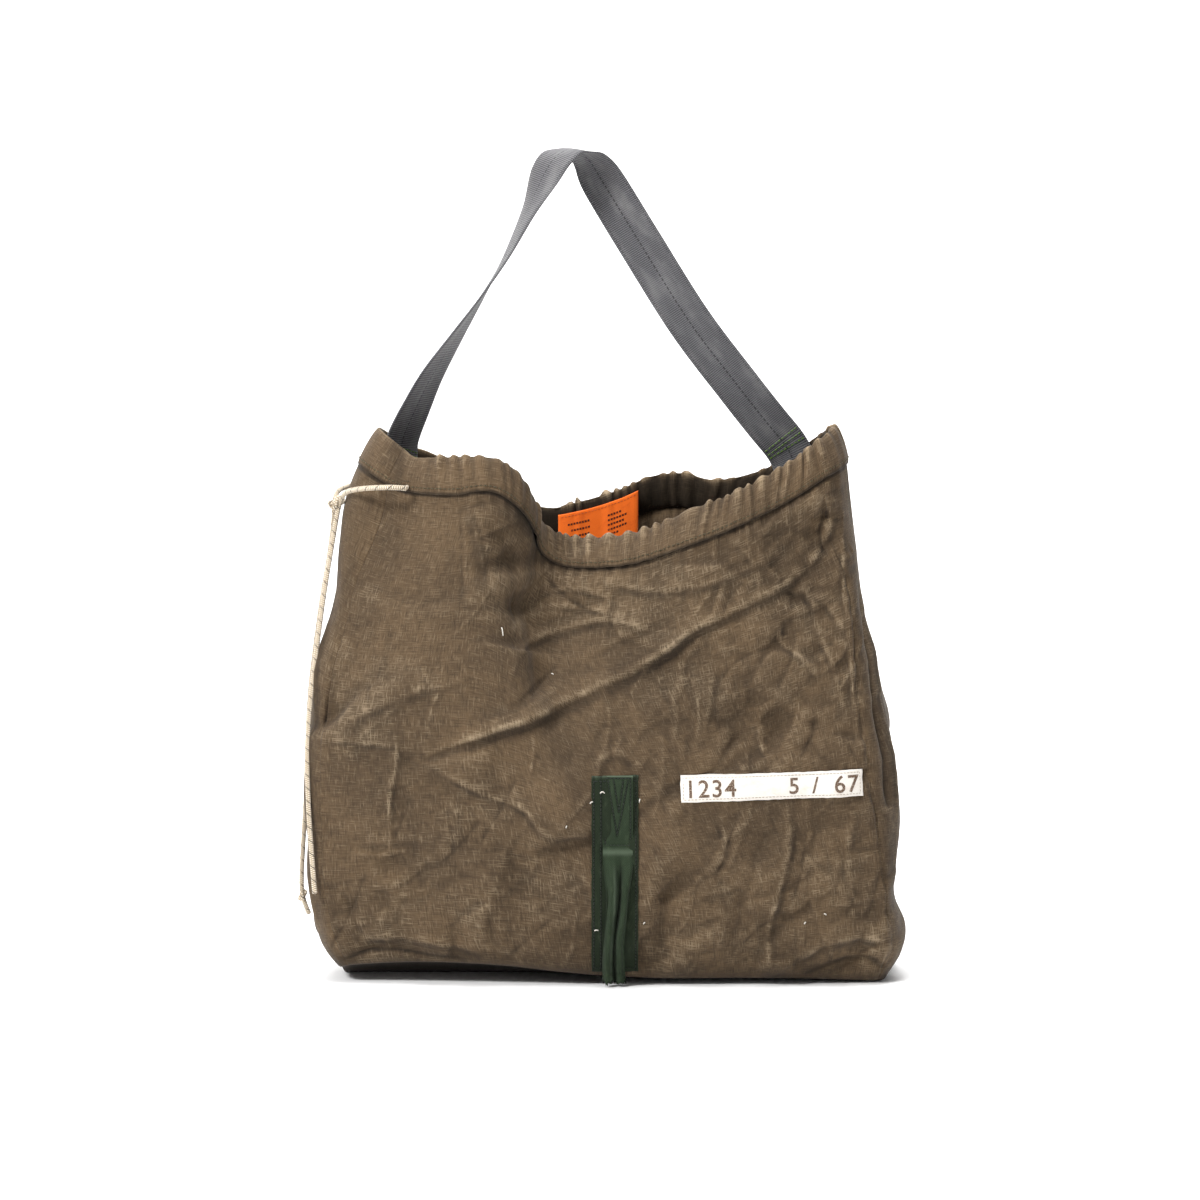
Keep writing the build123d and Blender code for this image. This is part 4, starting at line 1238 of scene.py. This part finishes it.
def printed(name, text, size, u, v, points, material):
    """Characters stamped on a patch, from a place given in shares of its width and height."""
    data = bpy.data.curves.new(name, "FONT")
    data.body = text
    data.size = size
    data.space_character = 1.12
    data.offset = 0.2
    holder = bpy.data.objects.new(name, data)
    mesh = bpy.data.meshes.new_from_object(holder)
    shape = bmesh.new()
    shape.from_mesh(mesh)
    for _ in range(5):
        bmesh.ops.triangulate(shape, faces=shape.faces)
        long_edges = [edge for edge in shape.edges if edge.calc_length() > 0.9]
        bmesh.ops.subdivide_edges(shape, edges=long_edges, cuts=1)
    bmesh.ops.triangulate(shape, faces=shape.faces)
    shape.to_mesh(mesh)
    shape.free()
    flat = np.array([vertex.co[:] for vertex in mesh.vertices])
    faces = [tuple(face.vertices) for face in mesh.polygons]
    bpy.data.objects.remove(holder)
    bpy.data.meshes.remove(mesh)
    width, height = LABEL_SIZE
    places = [on_patch(points, u + a / width, v + b / height) + [0, -0.5, 0] for a, b, _ in flat]
    return make_mesh(name, np.array(places), faces, material, {"weave": flat}, smooth=False)


def add_number_label():
    """The white label with its sewn border and stamped digits."""
    piece, points = front_patch("number_label_cloth", *LABEL_PLACE, *LABEL_SIZE, LABEL_TILT, 1.1,
                                LABEL_WHITE, LABEL, (150, 22), 301, fray=0.3)
    ride(piece, "white_label", "number_label")
    u0, v0, u1, v1 = 0.014, 0.1, 1 - 0.014, 1 - 0.1
    border = row_on(points, [(u0, v0), (u1, v0), (u1, v1), (u0, v1), (u0, v0)])
    sewn_row("number_label_stitches", border, 0.35, 2.2, 0.55, LABEL_THREAD, "white_thread", "number_label_thread")
    stamped = ("1234", 0.02, 20), ("5", 0.59, 19), ("/", 0.72, 19), ("67", 0.84, 20)
    for index, (text, u, size) in enumerate(stamped):
        ink = printed(f"label_digits_{index}", text, size, u, 0.5 - 0.35 * size / LABEL_SIZE[1], points, INK_BROWN)
        ride(ink, "white_label")


add_number_label()


# ---------------------------------------------------------------- green tapes
BASE_TAPE = (10.5, 96.0, 39.0, 168.0)
TIE_X, TIE_WIDTH = 13.0, 25.0


def dark_row(name, places, lift, length, thick, *nodes):
    return sewn_row(name, places, lift, length, thick, DARK_THREAD, "dark_thread", *nodes)


def add_base_tape():
    piece, points = front_patch("base_tape_cloth", *BASE_TAPE, 0.0, TAPE, TAPE_DARK, TAPE, (80, 110), 401, fray=0.5,
                                sewn_lines=(-17.6, -11.7, 17.6))
    ride(piece, "green_tape", "tape_base")
    ends = {
        "left": [(0.05, 0.02), (0.05, 0.98)],
        "left_inner": [(0.2, 0.02), (0.2, 0.98)],
        "right": [(0.95, 0.02), (0.95, 0.98)],
        "end_0": [(0.05, 0.02), (0.95, 0.02)],
        "end_1": [(0.05, 0.975), (0.95, 0.975)],
    }
    for side, path in ends.items():
        nodes = ["tape_thread"] if side == "left" else []
        dark_row(f"base_tape_stitches_{side}", row_on(points, path), 0.6, 2.4, 0.75, *nodes)
    return points


BASE_POINTS = add_base_tape()
# Rows of stitches on the tie tape: across from its middle, and up from its fold.
TIE_ROWS = {
    "left": [(-10.6, 7), (-10.6, 62)],
    "right": [(10.6, 7), (10.6, 62)],
    "top": [(-10.6, 62), (10.6, 62)],
    "point": [(-8.5, 60), (-0.6, 14), (8.5, 60)],
    "inner_point": [(-3.5, 60), (0.8, 34), (4.5, 60)],
}


def on_base_tape(x, z):
    """How far forward the base tape's middle lies at (x, z)."""
    middle_x, middle_z, width, height = BASE_TAPE
    return on_patch(BASE_POINTS, (x - middle_x) / width + 0.5, (z - middle_z) / height + 0.5)[1]


def tie_tape_points(z, share):
    """The tape down from its top: flat above the fold, then narrower, rolled and waving."""
    points = np.zeros((len(z), len(share), 3))
    for i, height in enumerate(z):
        free = float(ease(FOLD_Z + 4, FOLD_Z - 30, height))
        hang = max(0.0, FOLD_Z - height)
        narrow = 1 - 0.30 * float(ease(FOLD_Z - 4, 70, height)) + 0.08 * float(ease(40, 5, height))
        shift = -1.5 * free - 2.0 * float(ease(60, 0, height)) + 1.2 * sin(hang / 17)
        base = on_base_tape(TIE_X, height)
        lean = 0.05 * sin(hang / 19)
        fold = 1.6 * bell(height, FOLD_Z, 3.0)
        left_roll = 5.2 * np.exp(-(((share + 0.24 - lean) / 0.15) ** 4))
        valley = 2.2 * bell(share - 0.06, lean, 0.07)
        right_roll = 4.6 * np.exp(-(((share - 0.3 - lean) / 0.14) ** 4))
        pleat = free * (left_roll - valley + right_roll)
        wave = free * (0.9 * np.sin(hang / 11 + 3 * share) + 0.5 * np.sin(hang / 5.3 + 9 * share))
        points[i, :, 0] = TIE_X + shift + share * TIE_WIDTH * narrow
        points[i, :, 1] = base - 1.1 - 3.4 * free - pleat - wave - fold
        points[i, :, 2] = height
    fringe = np.random.default_rng(9).uniform(0, 1, len(share))
    points[-6:, :, 2] += (fringe[None, :] * 4.0) * np.linspace(0, 1, 6)[:, None]
    points[..., 2] = np.maximum(points[..., 2], 1.2)
    return points


def add_tie_tape():
    """One tape: sewn down above the fold, then hanging loose and creased along its length."""
    top, foot = 180.0, 1.5
    rows, columns = 230, 56
    z = np.linspace(top, foot, rows)
    share = np.linspace(-0.5, 0.5, columns)
    points = tie_tape_points(z, share)
    along = np.broadcast_to(np.abs(z - top)[:, None], (rows, columns))
    across = np.broadcast_to((share * TIE_WIDTH)[None, :], (rows, columns))
    at_fold = 0.6 * bell(z, FOLD_Z, 2.5)[:, None]
    at_top = 1.2 * bell(z, top, 1.4)[:, None]
    wear = at_fold + at_top + 0.5 * bell(share, -0.12, 0.05)[None, :] * ease(110, 90, z)[:, None]
    free = ease(FOLD_Z + 2, FOLD_Z - 24, z)[:, None]
    lean = 0.05 * np.sin(np.maximum(0, FOLD_Z - z) / 19)[:, None]
    # Painted shade in the groove between the two rolls and along the left edge of the loose part.
    valley = 0.85 * bell(share[None] - 0.06, lean, 0.055)
    dark = free * (valley + 0.5 * bell(share[None], -0.5, 0.06))
    for path in TIE_ROWS.values():
        for (x0, z0), (x1, z1) in zip(path, path[1:]):
            run_x, run_z = x1 - x0, z1 - z0
            off_x, off_z = across - x0, (z[:, None] - FOLD_Z) - z0
            t = np.clip((off_x * run_x + off_z * run_z) / (run_x**2 + run_z**2), 0, 1)
            gap = np.hypot(off_x - t * run_x, off_z - t * run_z)
            dark = np.maximum(dark, 0.8 * bell(gap, 0, 0.75))
            points[..., 1] += 0.5 * bell(gap, 0, 1.1)
    marks = cloth_marks(across, along, wear, dark)
    piece = make_mesh("tie_tape_cloth", points, grid_faces(rows, columns), TAPE_GREEN, marks)
    thicken(piece, TAPE)
    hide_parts("tie_tape", "tie_tape_sewn_end")
    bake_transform(piece)
    bar_z = FOLD_Z + 6
    bar_y = on_base_tape(TIE_X, bar_z) - 2.2
    bar = np.array([[TIE_X + off, bar_y, bar_z] for off in np.linspace(-10.5, 10.5, 30)])
    dark_row("tie_tape_bar", bar, 0.1, 2.2, 0.6, "tie_bar_tack")
    for side, path in TIE_ROWS.items():
        line = np.array([[TIE_X + x0 + (x1 - x0) * t, 0, FOLD_Z + z0 + (z1 - z0) * t]
                         for (x0, z0), (x1, z1) in zip(path, path[1:]) for t in np.linspace(0, 1, 40)])
        line[:, 1] = [on_base_tape(TIE_X, height) - 1.35 for _, _, height in line]
        dark_row(f"tie_tape_stitches_{side}", line, 0.1, 2.2, 0.7)


def tuft(name, x, z, size, seed):
    """A bit of white thread left standing on the cloth."""
    rng = np.random.default_rng(seed)
    turn = rng.uniform(0, pi)
    start = on_front(x, z, 0.8)
    t = np.linspace(-1, 1, 9)
    curl = rng.uniform(0.4, 0.9)
    line = start + np.stack([size * t * cos(turn), -0.8 * (1 - t**2), size * (t * sin(turn) + curl * (1 - t**2))], 1)
    piece = tube(name, line, lengths_along(line), 0.45, TUFT_WHITE, sides=6, ends=False)
    return ride(piece, "white_thread")


def add_tufts():
    """Each tuft: its place (x, z) and half its length."""
    spots = [(-84, 299, 3.2), (0, 166, 1.8), (-9, 158, 1.4), (31, 159, 1.4), (-5, 49, 1.5), (187, 62, 0.8),
             (170, 55, 0.8), (35, 56, 0.8), (-42, 262, 0.8), (-30, 138, 0.7)]
    for index, (x, z, size) in enumerate(spots):
        tuft(f"thread_tuft_{index}", x, z, size, 500 + index)


add_tie_tape()
FACE_TREE = tree_of(*(bpy.data.objects[name] for name in ("canvas_front", "base_tape_cloth", "tie_tape_cloth")))
add_tufts()


# ---------------------------------------------------------------- care label inside the back
def add_care_label():
    """An orange label with rows of plain bars, seen over the front of the mouth."""
    width, height, left = 69.0, 46.0, -38.0
    below_edge, proud = 8.0, 4.8  # below the casing's top edge, and in front of it
    columns, rows = 70, 40
    xs = np.linspace(left, left + width, columns)
    top_edge = hermite([(row[0], row[1]) for row in BACK_STATIONS])
    points = np.zeros((rows, columns, 3))
    for j, x in enumerate(xs):
        top = float(top_edge(x)) - below_edge
        hit, _, _, _ = INSIDE_TREE.ray_cast(Vector((x * MM, 0, (top - 8) * MM)), Vector((0, 1, 0)))
        y = hit.y / MM if hit else 30.0
        for i in range(rows):
            down = height * i / (rows - 1)
            points[i, j] = (x, y - proud - 0.8 * sin(x / 7.0) * (i / rows) - 0.02 * down, top - down)
    points[..., 1] = smooth_grid(points[..., 1], 12) - 0.6
    across, up = np.meshgrid(xs, np.linspace(0, height, rows))
    piece = make_mesh("care_label_cloth", points, grid_faces(rows, columns), LABEL_ORANGE, cloth_marks(across, up))
    thicken(piece, LABEL)
    ride(piece, "orange_label", "care_label")
    row = row_on(points, [(0.03, 0.06), (0.97, 0.06)])
    sewn_row("care_label_stitches", row, 0.3, 2.2, 0.5, ORANGE_THREAD, "orange_thread", "care_label_thread")
    bars = [(0.12, 0.2, 0.3), (0.16, 0.32, 0.26), (0.62, 0.22, 0.18), (0.62, 0.31, 0.26), (0.62, 0.4, 0.22),
            (0.12, 0.44, 0.3), (0.62, 0.49, 0.26), (0.12, 0.56, 0.24), (0.62, 0.58, 0.16)]
    shapes, faces, marks = [], [], []
    pitch, wide, high = 0.035, 0.024, 0.035  # of a bar's marks, in shares of the label
    for u, v, length in bars:
        for step in range(int(length / pitch)):
            start = u + step * pitch
            for du, dv in ((0, 0), (wide, 0), (wide, high), (0, high)):
                place = row_on(points, [(start + du, v + dv), (start + du, v + dv)])[0]
                shapes.append(place + np.array([0, -0.45, 0]))
                marks.append((start * 60, v * 40, 0))
            faces.append(tuple(range(len(shapes) - 4, len(shapes))))
    ink = make_mesh("care_label_bars", np.array(shapes), faces, INK_BLACK, {"weave": np.array(marks)}, smooth=False)
    ride(ink, "orange_label")


add_care_label()

# ---------------------------------------------------------------- shoulder strap
# Middle line (x, y, z) and how far the outer face is turned to the back, in degrees.
STRAP_STATIONS = [
    (-173, 14, 428, 45), (-173, 13, 444, 45), (-171, 12, 460, 43), (-160, 8, 485, 36), (-146, 2, 513, 26),
    (-125, -4, 546, 13), (-102, -9, 581, 1), (-82, -11, 614, -8), (-62, -12, 654, -20), (-48, -12, 684, -44),
    (-38, -9, 698, -38), (-24, 0, 704.5, -4), (-11, 8, 696, 42), (2, 12, 675, 76), (32, 15, 626, 85),
    (75, 19, 558, 86), (117, 25, 503, 86), (140, 29, 474, 85), (158, 32, 452, 84), (166, 33, 436, 84),
    (168, 33, 426, 84),
]


def add_strap():
    """One strip of webbing over its whole loop, a little cupped, with rows of green stitches at both ends."""
    count, columns = 420, 22
    raw = along_points(STRAP_STATIONS, np.linspace(0, len(STRAP_STATIONS) - 1, count))
    line, turn = smooth_line(raw[:, :3], 3), np.radians(raw[:, 3])
    onward = unit(np.gradient(line, axis=0))
    backward = unit(np.array([0, 1.0, 0]) - onward * onward[:, 1:2])
    outward = np.cross(onward, backward)
    face = outward * np.cos(turn)[:, None] + backward * np.sin(turn)[:, None]
    beside = np.cross(onward, face)
    run = lengths_along(line)
    half, thick = STRAP_WIDTH / 2, STRAP_THICKNESS / 2
    section = [(s * half, thick) for s in np.linspace(-0.97, 0.97, columns // 2)]
    section += [(half, 0.0)] + [(s * half, -thick) for s in np.linspace(0.97, -0.97, columns // 2)] + [(-half, 0.0)]
    section = np.array(section)
    cupped = section[:, 1] - 0.8 * (section[:, 0] / half) ** 2
    points = line[:, None] + beside[:, None] * section[None, :, :1] + face[:, None] * cupped[None, :, None]
    faces = grid_faces(count, len(section), closed=True)
    faces.append(tuple(range(len(section) - 1, -1, -1)))
    faces.append(tuple(range((count - 1) * len(section), count * len(section))))
    across = np.broadcast_to(section[None, :, 0], points.shape[:2])
    along = np.broadcast_to(run[:, None], points.shape[:2])
    piece = make_mesh("shoulder_strap_webbing", points, faces, WEBBING_GREY, cloth_marks(across, along))
    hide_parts("shoulder_strap", "strap_end_left", "strap_end_right")
    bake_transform(piece)
    rows = (("left", (458, 462, 466), -0.3), ("right", (463, 459.5, 467), 0.0))
    for side, heights, slope in rows:
        picked = np.arange(count // 2) if side == "left" else np.arange(count // 2, count)
        for index, height in enumerate(heights):
            s = np.linspace(-0.93, 0.93, 40) * half
            row = []
            for offset in s:
                k = picked[np.argmin(np.abs(line[picked, 2] - height - slope * abs(offset + half) + 9))]
                proud = thick + 0.25 + 0.8 * (offset / half) ** 2
                row.append(line[k] + beside[k] * offset * np.sign(beside[k][0]) - face[k] * proud)
            k = picked[np.argmin(np.abs(line[picked, 2] - height))]
            nodes = [f"strap_thread_{side}"] if index == 0 else []
            sewn_row(f"strap_stitches_{side}_{index}", np.array(row), 0.3, 2.6, 1.1, GREEN_THREAD, "green_thread",
                     *nodes, out=tuple(-face[k]))


add_strap()


# ---------------------------------------------------------------- cord inside the casing, and its holes
def add_hidden_cord():
    """The drawcord's run from one hole, inside the casing round the mouth, to the other."""
    front_exit, back_exit, height = -163, -160, 0.42
    start = int(np.argmin(np.abs(RING_HEM[:FRONT_TOTAL, 0] - front_exit)))
    back = np.arange(FRONT_TOTAL, len(RING_HEM))
    end = int(back[np.argmin(np.abs(RING_HEM[back, 0] - back_exit))])
    picked = np.arange(start, end, 12)
    line = smooth_line(RING_HEM[picked] + RING_UP[picked] * height, 4)
    front, back = np.array(FRONT_TAIL[0], float), np.array(BACK_TAIL[0], float)
    line = np.concatenate([[front, front + [1, 12, 1]], line, [back + [1, -12, 1], back]])
    run = lengths_along(line)
    wanted = np.linspace(0, run[-1], 500)
    line = places_at(wanted, run, line)
    piece = tube("cord_in_casing", line, wanted, CORD_RADIUS * 0.8, CORD_CREAM, sides=10, ends=False)
    ride(piece, "cream_cord", "drawcord_in_casing")


def add_eyelet(name, place, node, facing):
    """The worked edge of the hole that the cord comes out of."""
    t = np.linspace(0, 2 * pi, 40)
    half_width, half_height = 7, 3.8
    ring = np.stack([place[0] + half_width * np.cos(t), np.full(40, place[1]), place[2] + half_height * np.sin(t)], 1)
    sewn_row(name, ring, 0.0, 1.6, 0.8, OLIVE_THREAD, "olive_thread", node, out=(0, facing, 0))


def add_eyelets():
    for side, tail, facing in (("front", FRONT_TAIL, -1), ("back", BACK_TAIL, 1)):
        half = slice(0, FRONT_TOTAL) if facing < 0 else slice(FRONT_TOTAL, len(RING_HEM))
        offset = half.start
        index = offset + int(np.argmin(np.abs(RING_HEM[half, 0] - tail[0][0] - 1)))
        place = ring_point(np.array([index]), np.array([4.4]), np.array([0.12 if facing < 0 else 0.35]), 0.6)[0]
        add_eyelet(f"cord_hole_{side}", place, f"cord_eyelet_{side}", facing)


add_hidden_cord()
add_eyelets()


# ---------------------------------------------------------------- floor and light, in metres
WORLD_STRENGTH = 0.22
# Each light: its name, place, the point it faces, its size and its power in watts.
LIGHTS = [
    ("key", (-1.8, -1.7, 2.1), (0, 0, 0.25), 0.7, 86),
    ("fill", (1.9, -2.4, 0.9), (0, 0, 0.3), 1.4, 8),
    ("top", (0.1, -0.55, 2.3), (0, 0, 0.35), 0.8, 28),
    ("backdrop", (0, 1.2, 3.2), (0, 3.4, 1.2), 3.0, 230),
]


def add_floor():
    """A pale sweep: floor, a curve, and a wall a long way behind."""
    half_width, near, flat_to, bend, wall_top = 5.0, -4.0, 2.4, 1.2, 5.0
    curve = [(near, 0.0), (flat_to, 0.0)]
    curve += [(flat_to + bend * sin(t), bend - bend * cos(t)) for t in np.linspace(0, pi / 2, 16)[1:]]
    curve += [(flat_to + bend, wall_top)]
    points = [(x, y, z) for y, z in curve for x in (-half_width, half_width)]
    mesh = bpy.data.meshes.new("floor")
    mesh.from_pydata(points, [], [(2 * i, 2 * i + 1, 2 * i + 3, 2 * i + 2) for i in range(len(curve) - 1)])
    mesh.polygons.foreach_set("use_smooth", [True] * len(mesh.polygons))
    s = Shader("pale_floor", roughness=0.95, specular=0.05)
    position = s.tree.nodes.new("ShaderNodeNewGeometry").outputs["Position"]
    mesh.materials.append(s.finish(s.mix(s.noise(position, 2.0), colour(252, 252, 252), colour(250, 250, 250))))
    floor = bpy.data.objects.new("floor", mesh)
    bpy.context.scene.collection.objects.link(floor)


def add_light(name, place, aim, size, power):
    data = bpy.data.lights.new(name, "AREA")
    data.size = size
    data.energy = power
    lamp = bpy.data.objects.new(name, data)
    lamp.location = place
    lamp.rotation_euler = (Vector(aim) - Vector(place)).to_track_quat("-Z", "Y").to_euler()
    bpy.context.scene.collection.objects.link(lamp)


def add_world():
    world = bpy.data.worlds.new("studio")
    world.use_nodes = True
    background = world.node_tree.nodes["Background"]
    background.inputs["Color"].default_value = (1, 1, 1, 1)
    background.inputs["Strength"].default_value = WORLD_STRENGTH
    bpy.context.scene.world = world


add_floor()
add_world()
for light in LIGHTS:
    add_light(*light)
bpy.context.scene.view_settings.view_transform = "Standard"
